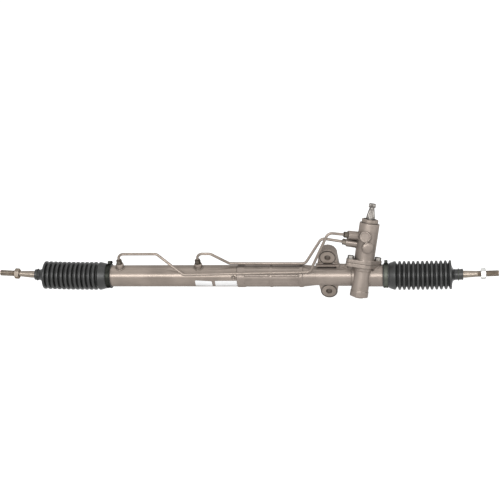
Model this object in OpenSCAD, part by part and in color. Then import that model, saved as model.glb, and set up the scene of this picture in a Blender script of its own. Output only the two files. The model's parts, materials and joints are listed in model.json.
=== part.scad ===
// Hydraulic rack-and-pinion steering gear with its inner tie rods.
// The rack bar slides along X. The mounting eyes stand one above the other at X = 0, their bolts
// run along Y, and the origin is the middle of the bolt pattern on the eyes' front seat plane.
// The side with the pinion is +X, and the ribbed front of the housing faces -Y.

/* [Rack] */
// Diameter of the rack bar
bar_d = 26; // [25:0.5:27]
// Travel of the rack from the middle to each lock
rack_travel = 68; // [58:1:72]
// Distance between the centres of the two inner ball joints
ball_span = 864; // [840:1:880]
// Right ball joint centre, from the mounting eyes
right_ball_x = 230; // [225:1:240]
// How far the rack axis lies in front of the eyes' seat plane
rack_ahead = 3.6; // [2:0.2:6]

/* [Gear teeth] */
// Number of pinion teeth
pinion_teeth = 8; // [7:1:9]
// Tooth module, square to the teeth
tooth_module = 1.85; // [1.75:0.01:1.9]
// Pressure angle in degrees
pressure_angle = 20; // [19:0.5:21]
// Profile shift of the pinion, in modules
profile_shift = 0.55; // [0.5:0.01:0.6]
// Play between the flanks
backlash = 0.12; // [0.08:0.01:0.2]
// Height of the rack's tooth tips above the rack axis
tooth_land_h = 9; // [8.6:0.1:9.6]
// Length of the pinion's toothed part
pinion_face_w = 29; // [24:1:30]

/* [Tower] */
// Pinion axis where it passes the rack, from the mounting eyes
pinion_x = 78; // [70:1:84]
// Lean of the pinion axis along the rack, in degrees
tower_lean_side = 9; // [5:0.5:11]
// Lean of the pinion axis to the back, in degrees
tower_lean_back = 26; // [20:1:30]
// Diameter of the pinion housing
pinion_case_d = 40; // [40:0.5:43]
// Diameter of the valve housing
valve_case_d = 46; // [44:0.5:50]
// Height of the flange joint above the rack axis
joint_s = 31.8; // [31:0.2:33]
// Height of the valve housing's top above the rack axis
valve_top_s = 126; // [124:0.5:132]
// Length of the input shaft outside the cap
input_len = 36; // [30:1:45]
// Diameter of the input shaft's splined head
input_head_d = 16; // [14:0.5:18]
// Distance of the flange bolts from the pinion axis
flange_bolt_r = 34; // [33:0.5:38]
// Turn of the flange about the pinion axis, in degrees
flange_turn = 25; // [0:5:35]

/* [Cylinder] */
// Outer diameter of the steel cylinder tube
tube_d = 50.8; // [50:0.2:53]
// Wall of the cylinder tube
tube_wall = 3.2; // [2.6:0.1:3.6]
// Left port, from the tube's left end
left_port_gap = 52.5; // [46:0.5:60]
// Right port, from the mounting eyes
right_port_x = -304; // [-310:1:-300]
// Width of the piston
piston_w = 20; // [16:1:24]

/* [Housing] */
// Left end of the cast sleeve, from the mounting eyes
sleeve_x = -212; // [-220:1:-200]
// Length of the cylinder tube inside the sleeve
sleeve_grip = 47; // [35:1:60]
// Height of the sleeve's ribs over the cylinder tube
sleeve_rib_h = 1.8; // [1.6:0.1:3.6]
// Diameter of the housing beside the eyes
neck_d = 45; // [43:0.5:47]
// Diameter of the gear case and the right end
case_d = 51.2; // [50.6:0.2:54]

/* [Mounting eyes] */
// Distance between the two bolt axes
eye_spacing = 96; // [92:0.5:104]
// Bore of the steel eye sleeve
eye_bore_d = 14.5; // [12:0.5:16]
// Length of the steel eye sleeve
eye_sleeve_len = 30; // [28:1:40]
// Outer radius of the upper lug
upper_lug_r = 21.5; // [21:0.5:24]
// Outer radius of the lower lug
lower_lug_r = 20; // [19.6:0.2:22]

/* [Pipes] */
// Outer diameter of the two pipes
pipe_d = 6.35; // [5:0.05:7]
// Radius of the pipes' bends, at their middle line
bend_r = 13; // [10:1:15]

/* [Tie rods] */
// Diameter of the ball
ball_d = 28; // [27:0.2:28.4]
// Diameter of the ball socket
socket_d = 38; // [37:0.5:40]
// Diameter of the shank
shank_d = 16; // [15:0.5:17]
// Diameter of the threaded stud
stud_d = 13.8; // [12:0.2:14]
// Length from the ball centre to the tip
tie_rod_len = 159; // [145:1:200]
// Lift of the resting left tie rod, in degrees
left_lift = 3.6; // [0:0.2:4]
// Lift of the resting right tie rod, in degrees
right_lift = 2.2; // [0:0.2:4]
// Right jam nut's middle, from the ball centre
right_nut_at = 124; // [118:1:130]
// Left jam nut's middle, from the ball centre
left_nut_at = 117; // [114:1:130]

/* [Bellows] */
// Diameter over the folds
bellows_d = 67; // [64:0.5:69]
// Diameter of the valleys between the folds
bellows_valley_d = 52.5; // [50:0.5:55]
// Number of folds
fold_count = 13; // [10:1:15]
// Rubber thickness
rubber_t = 1.6; // [1.2:0.1:2]

/* [Hidden] */
$fn = 64;

// Colours of the finishes
cast_paint = [0.60, 0.56, 0.52];
steel_paint = [0.62, 0.58, 0.54];
bare_steel = [0.70, 0.70, 0.70];
dark_steel = [0.30, 0.30, 0.29];
zinc = [0.80, 0.80, 0.78];
rubber = [0.10, 0.10, 0.10];
bronze_steel = [0.50, 0.45, 0.38];
plastic = [0.75, 0.74, 0.68];

// Clearances
running = 0.04;
seat_gap = 0.05;
rubber_gap = 0.3;
cut = 1;

// Gear geometry. The pinion is a spur gear on a leaning axis, and the rack's teeth lean with it.
pitch_r = tooth_module * pinion_teeth / 2;
base_r = pitch_r * cos(pressure_angle);
rack_addendum = tooth_module;
rack_dedendum = tooth_module;
tooth_h = rack_addendum + rack_dedendum;
root_r = pitch_r + (profile_shift - 1.25) * tooth_module;
tip_r = pitch_r + (profile_shift + 0.8) * tooth_module;
pinion_out = tooth_land_h + pitch_r + profile_shift * tooth_module - rack_addendum;
rack_pitch = PI * tooth_module / cos(tower_lean_side);
tip_reach = sqrt(pow(tip_r, 2) - pow(pinion_out - tooth_land_h, 2));
gaps_each_side = ceil((rack_travel + tip_reach) / rack_pitch);
land_half_len = gaps_each_side * rack_pitch + 5;

// Positions along the rack
bar_r = bar_d / 2;
socket_back = 20;
socket_front = 16;
washer_t = 2;
stop_gap = 0.5;
left_ball_x = right_ball_x - ball_span;
bar_right_x = right_ball_x - socket_back - washer_t;
bar_left_x = left_ball_x + socket_back + washer_t;
housing_end_x = right_ball_x - socket_back - washer_t - rack_travel - stop_gap;
tube_end_x = left_ball_x + socket_back + rack_travel + stop_gap;
socket_stud_r = 8;
socket_stud_len = 24;

// Tube and housing
tube_r = tube_d / 2;
tube_bore_r = tube_r - tube_wall;
spigot_r = tube_r - 1.5;
sleeve_r = tube_r + sleeve_rib_h;
panel_r = sleeve_r - 1.2;
sleeve_end_x = -58;
neck_start_x = -28;
neck_r = neck_d / 2;
case_r = case_d / 2;
case_x = 56;
cuff_seat_r = 25;
cuff_seat_len = 13;
rack_tunnel_r = bar_r + 2.6;
port_top_z = tube_r + 11.6;
port_boss_r = 9.4;
bush_len = 20;
seal_w = 9;
bulkhead_w = 22;
bulkhead_x = right_port_x + 7;
bulkhead_seal_t = 5;
bulkhead_pocket_r = bar_r + bulkhead_seal_t;
left_port_x = tube_end_x + left_port_gap;
piston_x = (tube_end_x + 2 + bush_len + seal_w + bulkhead_x) / 2;

// Tower stations, measured along the pinion axis from the rack
lower_plug_s = -46;
lower_nut_s = -41;
lower_bearing_s = -34;
lower_bearing_top_s = -18.5;
upper_bearing_s = 19.5;
flange_s = 23;
valve_flange_t = 8.8;
valve_bore_s = joint_s + 10.2;
sleeve_low_s = valve_bore_s + 2;
spool_s = sleeve_low_s + 13;
valve_step_s = valve_top_s - 18.5;
seal_seat_s = valve_top_s - 4;
spool_top_s = valve_step_s - 1.5;
cap_h = 9;
shaft_out_s = valve_top_s + cap_h + 1.5;
input_tip_s = valve_top_s + cap_h + input_len;
spline_len = 9;
lower_bearing_r = 13;
lower_journal_r = 6;
upper_bearing_r = 17;
upper_journal_r = 8.5;
pinion_seal_r = 15;
pinion_top_r = 10;
valve_bore_r = 17;
valve_sleeve_bore_r = 11;
input_journal_r = 8.5;
input_bearing_r = 16;
cap_r = 18.9;
torsion_bar_r = 4;
torsion_bore_r = 4.4;
plug_thread_r = 15;
upper_port_s = 94;
upper_port_turn = 20;
lower_port_s = 74.5;
valve_port_len = 48;
valve_port_r = 10;
back_port_len = 36;
back_port_r = 11;
pressure_port_s = 94;
return_port_s = 70;
back_port_thread_r = 7;
back_port_depth = 14;

// Yoke, measured from the rack axis towards the back
yoke_r = 15;
yoke_front = 3;
yoke_back = 33;
yoke_plug_r = 16.5;
yoke_case_r = 21;
yoke_case_end = 43;
yoke_plug_end = 48;
locknut_t = 6;
spring_pocket_r = 8;
spring_r = 5.8;
spring_wire_r = 1.2;
spring_turns = 5;

// Mounting eyes
eye_z = eye_spacing / 2;
lug_front = 0.8;
lug_back = 24;
eye_hole_r = 15;
eye_recess_r = 18.8;
eye_recess_depth = 4.6;
eye_face_r = 16.6;
eye_face_t = 2.5;
eye_tube_r = 10.5;
lug_half_w = 28;
shelf_low_z = 28;
shelf_top_z = 31;
shelf_front = 8;
web_t = 6;
web_top_z = 29;

// Fasteners
flange_bolt_d = 8;
flange_bolt_head = 7.5;
pipe_nut_af = 12;
pipe_nut_h = 9;
pipe_nut_thread_r = 5;
pipe_thread_len = 7.5;
jam_nut_af = 22;
jam_nut_t = 11;

// Middle lines of the pipes, in the rack's frame
pipe_r = pipe_d / 2;
pipe_overlap = 0.5;
pipe_high_z = 63;
long_pipe_rise = [
    [left_port_x + 93, 0, pipe_high_z],
    [left_port_x + 156, -25.8, 21.7],
    [-40, -22.5, 26.4],
];
short_pipe_rise = [
    [right_port_x + 32, 0, pipe_high_z],
    [right_port_x + 74, 2.7, 33.6],
    [-52, 2.7, 32.6],
];
upper_port_corner = 95;
lower_port_corner = 104;

// Bellows and clamps, measured outwards from each ball centre
right_cuff = [-103.5, -90.2, -75.7];
left_cuff = [-117.5, -106.5, -89.3];
right_tail = [49.7, 57.4, 78.6];
left_tail = [45.1, 59.8, 72.6];
cuff_wall = 2.6;
clamp_t = 0.8;
clamp_w = 10;
clamp_turn = 35;
nut_clear = 0.5;
thread_depth = 0.5;
shoulder_step = 1.8;
tail_wall = 4;
clip_wire_r = 0.9;

// Frames

// The rack's own frame: its X axis is the rack axis
module at_rack() translate([0, -rack_ahead, 0]) children();

// Leans with the tower: Y points from the pinion through the rack to the yoke
module lean() rotate([-tower_lean_back, 0, 0]) children();

// On the pinion axis, at height s: X to the right, Y to the back
module on_tower(s = 0) lean()
    translate([pinion_x, -pinion_out, 0])
    rotate([0, tower_lean_side, 0])
    translate([0, 0, s])
    children();

// Turns Z to point along the rack
module along_x(x = 0) translate([x, 0, 0]) rotate([0, 90, 0]) children();

// Outwards from a ball centre; side is 1 on the right and -1 on the left
module outwards(side)
    translate([side > 0 ? right_ball_x : left_ball_x, 0, 0])
    mirror([side > 0 ? 0 : 1, 0, 0])
    children();

// As outwards, but lifted with the resting tie rod
module along_rod(side) outwards(side)
    rotate([0, side > 0 ? -right_lift : -left_lift, 0]) children();

// Shapes

module ring(r_out, r_in, h) difference() {
    cylinder(r = r_out, h = h);
    translate([0, 0, -cut]) cylinder(r = r_in, h = h + 2 * cut);
}

module ring_x(x_low, x_high, r_out, r_in) along_x(x_low) ring(r_out, r_in, x_high - x_low);

module rod_x(x_low, x_high, r) along_x(x_low) cylinder(r = r, h = x_high - x_low);

module hex(across_flats, h) cylinder(d = across_flats / cos(30), h = h, $fn = 6);

// How far the straight sides of an outline run inside the circles that they join
side_inset = 0.3;

// Two ears on a round middle, joined by straight sides
module eared_plate(mid_r, ear_r, ear_at) {
    touch = acos((mid_r - ear_r) / ear_at);
    mid_in = mid_r - side_inset;
    ear_in = ear_r - side_inset;
    half = [
        mid_in * [cos(touch), -sin(touch)],
        [ear_at, 0] + ear_in * [cos(touch), -sin(touch)],
        [ear_at, 0] + ear_in * [cos(touch), sin(touch)],
        mid_in * [cos(touch), sin(touch)],
    ];
    circle(r = mid_r);
    for (side = [1, -1]) translate([side * ear_at, 0]) circle(r = ear_r);
    polygon(concat(half, -half));
}

// Where a straight side from the lug's base corner reaches a round eye
function lug_touch(r) = let (
        inner_r = r - side_inset,
        reach = norm([lug_half_w, eye_z]),
        aim = atan2(eye_z, -lug_half_w) - asin(inner_r / reach)
    ) [lug_half_w, 0] + sqrt(pow(reach, 2) - pow(inner_r, 2)) * [cos(aim), sin(aim)];

// Both lugs seen from the front: two round eyes on one base
module lug_outline() {
    up = lug_touch(upper_lug_r);
    low = lug_touch(lower_lug_r);
    translate([0, eye_z]) circle(r = upper_lug_r);
    translate([0, -eye_z]) circle(r = lower_lug_r);
    polygon([
        [lug_half_w, 0], up, [-up[0], up[1]],
        [-lug_half_w, 0], [-low[0], -low[1]], [low[0], -low[1]],
    ]);
}

function unit(v) = v / norm(v);

// Places Z along a direction, with X on a given side
module aim_frame(at, z_dir, x_dir) {
    z = unit(z_dir);
    x = unit(x_dir - (x_dir * z) * z);
    y = cross(z, x);
    multmatrix([
        [x[0], y[0], z[0], at[0]],
        [x[1], y[1], z[1], at[1]],
        [x[2], y[2], z[2], at[2]],
        [0, 0, 0, 1],
    ]) children();
}

// Length that a bend takes from each of the two straights that meet at b
function bend_take(a, b, c) = let (turn = acos(unit(b - a) * unit(c - b))) bend_r * tan(turn / 2);

// A bent tube through a list of corners. Its bends are drawn a hair thinner than its straights,
// which reach a little way into them.
module bent_tube(path, r) {
    last = len(path) - 1;
    for (i = [0 : last - 1]) {
        from_take = i == 0 ? 0 : bend_take(path[i - 1], path[i], path[i + 1]);
        to_take = i == last - 1 ? 0 : bend_take(path[i], path[i + 1], path[i + 2]);
        dir = unit(path[i + 1] - path[i]);
        side = abs(dir[2]) > 0.9 ? [1, 0, 0] : [0, 0, 1];
        from_more = i == 0 ? 0 : pipe_overlap;
        to_more = i == last - 1 ? 0 : pipe_overlap;
        aim_frame(path[i] + dir * (from_take - from_more), dir, side)
            cylinder(r = r, h = norm(path[i + 1] - path[i]) - from_take - to_take + from_more + to_more);
    }
    for (i = [1 : last - 1]) {
        dir_in = unit(path[i] - path[i - 1]);
        dir_out = unit(path[i + 1] - path[i]);
        turn = acos(dir_in * dir_out);
        start = path[i] - dir_in * bend_take(path[i - 1], path[i], path[i + 1]);
        to_centre = unit(dir_out - (dir_out * dir_in) * dir_in);
        axis = cross(-to_centre, dir_in);
        aim_frame(start + to_centre * bend_r, axis, -to_centre)
            rotate_extrude(angle = turn) translate([bend_r, 0]) circle(r = r - 0.03);
    }
}

// Points on a helix about Z
function helix_ring(t, sides) = [
    for (k = [0 : sides - 1])
        let (reach = spring_r + spring_wire_r * cos(360 * k / sides))
        [
            reach * cos(360 * spring_turns * t),
            reach * sin(360 * spring_turns * t),
            t * spring_rise + spring_wire_r * sin(360 * k / sides),
        ]
];
spring_rise = yoke_case_end - 4 - 18 - 2 * spring_wire_r - 0.6;

// Gear teeth

// Angle between an involute's start and its point at radius r
function involute_turn(r) = let (roll = acos(base_r / r)) tan(roll) * 180 / PI - roll;
tooth_half_turn = (90 + 360 / PI * profile_shift * tan(pressure_angle)) / pinion_teeth
    + involute_turn(pitch_r);
flank_steps = 5;
function flank_radius(i) = base_r + (tip_r - base_r) * i / flank_steps;
function flank_turn(i) = tooth_half_turn - involute_turn(flank_radius(i));
function polar(r, turn) = r * [cos(turn), sin(turn)];

// One tooth, centred on the Y axis
function tooth_points() = concat(
    [polar(root_r, 90 + tooth_half_turn)],
    [for (i = [0 : flank_steps]) polar(flank_radius(i), 90 + flank_turn(i))],
    [for (i = [flank_steps : -1 : 0]) polar(flank_radius(i), 90 - flank_turn(i))],
    [polar(root_r, 90 - tooth_half_turn)]
);

module pinion_outline() {
    turn_each = 360 / pinion_teeth;
    polygon([
        for (i = [0 : pinion_teeth - 1], p = tooth_points())
            let (c = cos(-i * turn_each), s = sin(-i * turn_each))
            [p[0] * c - p[1] * s, p[0] * s + p[1] * c]
    ]);
}

// The space between two rack teeth, square to the teeth, open towards -Y
module rack_gap() {
    half = PI * tooth_module / 4 + backlash / 2;
    slope = tan(pressure_angle);
    open_half = half + (rack_addendum + cut) * slope;
    root_half = half - rack_dedendum * slope;
    rotate([0, tower_lean_side, 0]) translate([0, 0, -1.5 * bar_r]) linear_extrude(3 * bar_r)
        polygon([
            [-open_half, -tooth_land_h - cut],
            [open_half, -tooth_land_h - cut],
            [root_half, -tooth_land_h + tooth_h],
            [-root_half, -tooth_land_h + tooth_h],
        ]);
}

// Housing and what it holds

module sleeve_ribs() {
    for (span = [[sleeve_x, sleeve_x + 18], [-134.5, -130], [-66, sleeve_end_x]])
        rod_x(span[0], span[1], sleeve_r);
    for (turn = [22.5, 112.5, 202.5, 292.5])
        rotate([turn + 90, 0, 0])
            translate([sleeve_x + 3, -2.8, 0])
            cube([sleeve_end_x - sleeve_x - 6, 5.6, sleeve_r - 0.4]);
}

module housing_outside() {
    rod_x(sleeve_x, sleeve_end_x, panel_r);
    sleeve_ribs();
    along_x(sleeve_end_x) cylinder(r1 = panel_r, r2 = neck_r, h = neck_start_x - sleeve_end_x);
    rod_x(neck_start_x - cut, case_x + cut, neck_r);
    rod_x(case_x, housing_end_x - cuff_seat_len, case_r);
    rod_x(housing_end_x - cuff_seat_len - cut, housing_end_x, cuff_seat_r);
    translate([0, rack_ahead + lug_back, 0]) rotate([90, 0, 0])
        linear_extrude(lug_back - lug_front) lug_outline();
    translate([-lug_half_w, rack_ahead - shelf_front, shelf_low_z])
        cube([2 * lug_half_w, shelf_front + 3, shelf_top_z - shelf_low_z]);
    translate([20, -2, 0]) cube([25, rack_ahead + web_t, web_top_z]);
    translate([20, -2, -web_top_z]) cube([44, rack_ahead + web_t, web_top_z]);
    lean() translate([pinion_x, 0, 0]) rotate([-90, 0, 0])
        cylinder(r = yoke_case_r, h = yoke_case_end);
    on_tower(lower_bearing_s) cylinder(d = pinion_case_d, h = flange_s - lower_bearing_s + 1);
    on_tower(lower_plug_s) cylinder(d = pinion_case_d + 2, h = 13);
    on_tower(flange_s - 7) cylinder(d = pinion_case_d + 3, h = 8);
    on_tower(flange_s) rotate(flange_turn)
        linear_extrude(joint_s - flange_s)
        eared_plate(valve_case_d / 2 + 1, 9.5, flange_bolt_r);
}

module rack_housing() color(cast_paint) at_rack() difference() {
    housing_outside();
    rod_x(sleeve_x - cut, sleeve_x + sleeve_grip + seat_gap, spigot_r + seat_gap);
    rod_x(sleeve_x, housing_end_x + cut, rack_tunnel_r);
    for (side = [1, -1]) translate([0, rack_ahead, side * eye_z]) rotate([-90, 0, 0]) {
        cylinder(r = eye_recess_r, h = lug_front + eye_recess_depth);
        cylinder(r = eye_hole_r, h = lug_back + cut);
    }
    lean() translate([pinion_x, 0, 0]) rotate([-90, 0, 0]) {
        cylinder(r = yoke_r, h = yoke_case_end);
        translate([0, 0, yoke_back]) cylinder(r = yoke_plug_r, h = yoke_case_end);
    }
    on_tower(lower_plug_s - cut) cylinder(r = plug_thread_r, h = lower_bearing_s - lower_plug_s + cut);
    on_tower(lower_bearing_s - cut)
        cylinder(r = lower_bearing_r, h = lower_bearing_top_s - lower_bearing_s + cut);
    on_tower(lower_bearing_top_s - cut)
        cylinder(r = tip_r + 1.1, h = upper_bearing_s - lower_bearing_top_s + 2 * cut);
    on_tower(upper_bearing_s) cylinder(r = upper_bearing_r, h = joint_s);
    on_tower(flange_s - cut) rotate(flange_turn) for (side = [1, -1])
        translate([side * flange_bolt_r, 0, 0])
        cylinder(d = flange_bolt_d + 2 * seat_gap, h = 20);
}

module port_boss(x) translate([x, 0, 0]) {
    cylinder(r = port_boss_r, h = port_top_z - 4);
    translate([0, 0, port_top_z - 4]) cylinder(r1 = port_boss_r, r2 = 7.6, h = 4);
}

module cylinder_tube() color(steel_paint) at_rack() difference() {
    union() {
        rod_x(tube_end_x, sleeve_x, tube_r);
        rod_x(sleeve_x - cut, sleeve_x + sleeve_grip, spigot_r);
        port_boss(left_port_x);
        port_boss(right_port_x);
    }
    rod_x(tube_end_x - cut, sleeve_x + sleeve_grip + cut, tube_bore_r);
    for (x = [left_port_x, right_port_x]) translate([x, 0, 0]) {
        cylinder(r = 2.2, h = port_top_z + cut);
        translate([0, 0, port_top_z - pipe_thread_len - 1])
            cylinder(r = pipe_nut_thread_r + seat_gap, h = pipe_thread_len + 2 * cut);
    }
}

module tube_end_bush() color(bare_steel) at_rack()
    ring_x(tube_end_x + 2, tube_end_x + 2 + bush_len, tube_bore_r - seat_gap, bar_r + running);

module tube_end_seal() color(rubber) at_rack()
    ring_x(tube_end_x + 2 + bush_len, tube_end_x + 2 + bush_len + seal_w,
        tube_bore_r - seat_gap, bar_r + running);

module bulkhead() color(bare_steel) at_rack() difference() {
    rod_x(bulkhead_x, bulkhead_x + bulkhead_w, tube_bore_r - seat_gap);
    rod_x(bulkhead_x - cut, bulkhead_x + seal_w, bulkhead_pocket_r);
    rod_x(bulkhead_x, bulkhead_x + bulkhead_w + cut, bar_r + 0.5);
}

module bulkhead_seal() color(rubber) at_rack()
    ring_x(bulkhead_x, bulkhead_x + seal_w, bulkhead_pocket_r - seat_gap, bar_r + running);

module valve_outside() {
    on_tower(joint_s) rotate(flange_turn)
        linear_extrude(valve_flange_t)
        eared_plate(valve_case_d / 2 + 1, 9.5, flange_bolt_r);
    on_tower(joint_s + valve_flange_t - cut)
        cylinder(d = valve_case_d, h = valve_top_s - joint_s - valve_flange_t + cut);
    on_tower(upper_port_s) rotate(upper_port_turn) rotate([0, -90, 0])
        cylinder(r = valve_port_r, h = valve_port_len);
    on_tower(lower_port_s) rotate([0, -90, 0]) cylinder(r = valve_port_r, h = valve_port_len - 1);
    for (port = [[pressure_port_s, -11], [return_port_s, 9]])
        on_tower(port[0]) translate([port[1], 0, 0]) rotate([-90, 0, 0])
            cylinder(r = back_port_r, h = back_port_len);
    // Two plain round pads on the front, and a small boss at the back for the plug
    on_tower(96) rotate(-12) rotate([90, 0, 0]) cylinder(r = 13, h = valve_case_d / 2 + 1.6);
    on_tower(72) rotate(10) rotate([90, 0, 0]) cylinder(r = 12.6, h = valve_case_d / 2 + 2);
    on_tower(118) rotate(-60) rotate([0, -90, 0]) cylinder(r = 7, h = valve_case_d / 2 + 4);
}

module valve_housing() color(cast_paint) at_rack() difference() {
    valve_outside();
    on_tower(joint_s - cut) cylinder(r = pinion_seal_r, h = 12);
    on_tower(valve_bore_s) cylinder(r = valve_bore_r, h = valve_step_s - valve_bore_s);
    on_tower(valve_step_s - cut) cylinder(r = input_bearing_r, h = 25);
    on_tower(seal_seat_s) cylinder(r = valve_bore_r + seat_gap, h = 10);
    on_tower(upper_port_s) rotate(upper_port_turn) rotate([0, -90, 0]) {
        cylinder(r = 2.4, h = valve_port_len);
        translate([0, 0, valve_port_len - pipe_thread_len - 1])
            cylinder(r = pipe_nut_thread_r + seat_gap, h = pipe_thread_len + 2 * cut);
    }
    on_tower(lower_port_s) rotate([0, -90, 0]) {
        cylinder(r = 2.4, h = valve_port_len);
        translate([0, 0, valve_port_len - pipe_thread_len - 2])
            cylinder(r = pipe_nut_thread_r + seat_gap, h = pipe_thread_len + 2 * cut);
    }
    for (port = [[pressure_port_s, -11], [return_port_s, 9]])
        on_tower(port[0]) translate([port[1], 0, 0]) rotate([-90, 0, 0]) {
            cylinder(r = 3, h = back_port_len);
            translate([0, 0, back_port_len - back_port_depth])
                cylinder(r = back_port_thread_r, h = back_port_depth + cut);
        }
    on_tower(96) rotate(-12) rotate([90, 0, 0]) translate([0, 0, valve_case_d / 2 + 0.6])
        difference() {
            cylinder(r = 10.5, h = 3);
            translate([0, 0, -cut]) cylinder(r = 8.8, h = 5);
        }
    on_tower(118) rotate(-60) rotate([0, -90, 0]) translate([0, 0, valve_case_d / 2 - 2])
        cylinder(r = 4, h = 8);
    on_tower(joint_s - cut) rotate(flange_turn) for (side = [1, -1])
        translate([side * flange_bolt_r, 0, 0])
        cylinder(d = flange_bolt_d + 0.6, h = 20);
}

module valve_cap() color(steel_paint) at_rack() on_tower(seal_seat_s) difference() {
    union() {
        cylinder(r = valve_bore_r, h = 5);
        translate([0, 0, valve_top_s - seal_seat_s]) cylinder(r = cap_r, h = cap_h - 1);
        translate([0, 0, valve_top_s - seal_seat_s + cap_h - 1])
            cylinder(r1 = cap_r, r2 = cap_r - 1, h = 1);
    }
    translate([0, 0, -cut]) cylinder(r = input_journal_r + 0.5, h = 20);
    translate([0, 0, valve_top_s - seal_seat_s + cap_h - 1.5]) cylinder(r = cap_r - 4, h = 3);
}

module port_plug() color([0.45, 0.48, 0.42]) at_rack() on_tower(118) rotate(-60)
    rotate([0, -90, 0]) translate([0, 0, valve_case_d / 2 - 2]) {
        cylinder(r = 4 - seat_gap, h = 6);
        translate([0, 0, 6]) cylinder(r = 6, h = 1.6);
    }

module input_bearing() color(bare_steel) at_rack() on_tower(valve_step_s)
    ring(input_bearing_r - seat_gap, input_journal_r + running, 10);

module input_seal() color(rubber) at_rack() on_tower(valve_step_s + 10)
    ring(input_bearing_r - seat_gap, input_journal_r + running, 4.4);

module pinion_upper_bearing() color(bare_steel) at_rack() on_tower(upper_bearing_s)
    ring(upper_bearing_r - seat_gap, upper_journal_r + running, joint_s - upper_bearing_s);

module pinion_lower_bearing() color(bare_steel) at_rack() on_tower(lower_bearing_s)
    ring(lower_bearing_r - seat_gap, lower_journal_r + running, 14);

module pinion_seal() color(rubber) at_rack() on_tower(joint_s + 1)
    ring(pinion_seal_r - seat_gap, pinion_top_r + running, 7);

module bottom_plug() color(steel_paint) at_rack() difference() {
    union() {
        on_tower(lower_plug_s) cylinder(r = plug_thread_r - seat_gap, h = 11);
        on_tower(lower_plug_s - 3) cylinder(r1 = 11.5, r2 = 12.7, h = 3);
    }
    on_tower(lower_plug_s + 3) cylinder(r = 11.5, h = 10);
    on_tower(lower_plug_s - 4) hex(10, 4.5);
}

module valve_bolts() color(zinc) at_rack() rotate_flange_bolts();

module rotate_flange_bolts() on_tower(joint_s + valve_flange_t) rotate(flange_turn)
    for (side = [1, -1]) translate([side * flange_bolt_r, 0, 0]) {
        cylinder(r = 8, h = 1.4);
        translate([0, 0, 1.3]) hex(13, flange_bolt_head - 1.3);
        translate([0, 0, flange_s - joint_s - valve_flange_t + 1])
            cylinder(d = flange_bolt_d, h = joint_s + valve_flange_t - flange_s - 0.5);
    }

module rack_yoke() color(bare_steel) at_rack() difference() {
    lean() translate([pinion_x, yoke_front, 0]) rotate([-90, 0, 0])
        cylinder(r = yoke_r - seat_gap, h = yoke_back - yoke_front - 0.4);
    rod_x(pinion_x - 2 * yoke_r, pinion_x + 2 * yoke_r, bar_r + running);
    lean() translate([pinion_x, 18, 0]) rotate([-90, 0, 0])
        cylinder(r = spring_pocket_r, h = yoke_back);
}

module yoke_spring() color(dark_steel) at_rack() lean()
    translate([pinion_x, 18 + spring_wire_r + 0.3, 0]) rotate([-90, 0, 0]) {
        steps = 14 * spring_turns;
        sides = 6;
        rings = [for (i = [0 : steps]) each helix_ring(i / steps, sides)];
        polyhedron(rings, concat(
            [[for (k = [0 : sides - 1]) k]],
            [for (i = [0 : steps - 1], k = [0 : sides - 1])
                let (a = i * sides, b = a + sides, n = (k + 1) % sides)
                each [[a + k, b + k, a + n], [a + n, b + k, b + n]]],
            [[for (k = [sides - 1 : -1 : 0]) steps * sides + k]]
        ), convexity = 10);
    }

module yoke_plug() color(steel_paint) at_rack() lean()
    translate([pinion_x, yoke_back + 0.5, 0]) rotate([-90, 0, 0]) difference() {
        cylinder(r = yoke_plug_r - seat_gap, h = yoke_plug_end - yoke_back - 0.5);
        translate([0, 0, -cut]) cylinder(r = spring_pocket_r, h = yoke_case_end - yoke_back - 3.5);
        translate([0, 0, yoke_case_end - yoke_back]) hex(17, 8);
    }

module yoke_locknut() color(steel_paint) at_rack() lean()
    translate([pinion_x, yoke_case_end, 0]) rotate([-90, 0, 0]) difference() {
        cylinder(d = 2 * yoke_case_r - 2, h = locknut_t - 2, $fn = 8);
        translate([0, 0, -cut]) cylinder(r = yoke_plug_r, h = 10);
    }

module eye_bush(side) color(rubber) translate([0, 0, side * eye_z]) rotate([-90, 0, 0])
    difference() {
        union() {
            translate([0, 0, eye_face_t + 0.1])
                cylinder(r = eye_recess_r - 0.3, h = lug_front + eye_recess_depth - eye_face_t - 0.2);
            translate([0, 0, eye_face_t + 0.2])
                cylinder(r = eye_hole_r - 0.1, h = lug_back - eye_face_t + 2);
        }
        cylinder(r = eye_tube_r + 0.1, h = 50);
    }

module upper_eye_bush() eye_bush(1);

module lower_eye_bush() eye_bush(-1);

module eye_sleeve(side) color(steel_paint) translate([0, 0, side * eye_z]) rotate([-90, 0, 0])
    difference() {
        union() {
            cylinder(r = eye_face_r, h = eye_face_t);
            cylinder(r = eye_tube_r, h = eye_sleeve_len);
        }
        translate([0, 0, -cut]) cylinder(d = eye_bore_d, h = eye_sleeve_len + 2 * cut);
    }

module upper_eye_sleeve() eye_sleeve(1);

module lower_eye_sleeve() eye_sleeve(-1);

// Pipes

// A point on a valve port's axis, at a distance from the pinion axis
function on_port(s, turn, reach) = let (
        local = [-reach * cos(turn), -reach * sin(turn), s],
        ca = cos(tower_lean_side), sa = sin(tower_lean_side),
        cb = cos(tower_lean_back), sb = sin(tower_lean_back),
        x = local[0] * ca + local[2] * sa + pinion_x,
        y = local[1] - pinion_out,
        z = -local[0] * sa + local[2] * ca
    ) [x, y * cb + z * sb, -y * sb + z * cb];

module long_pipe() color(steel_paint) at_rack() bent_tube(concat(
    [[left_port_x, 0, port_top_z - pipe_thread_len - 0.5], [left_port_x, 0, pipe_high_z]],
    long_pipe_rise,
    [for (reach = [upper_port_corner, valve_port_len - pipe_thread_len - 0.5])
        on_port(upper_port_s, upper_port_turn, reach)]
), pipe_r);

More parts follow.
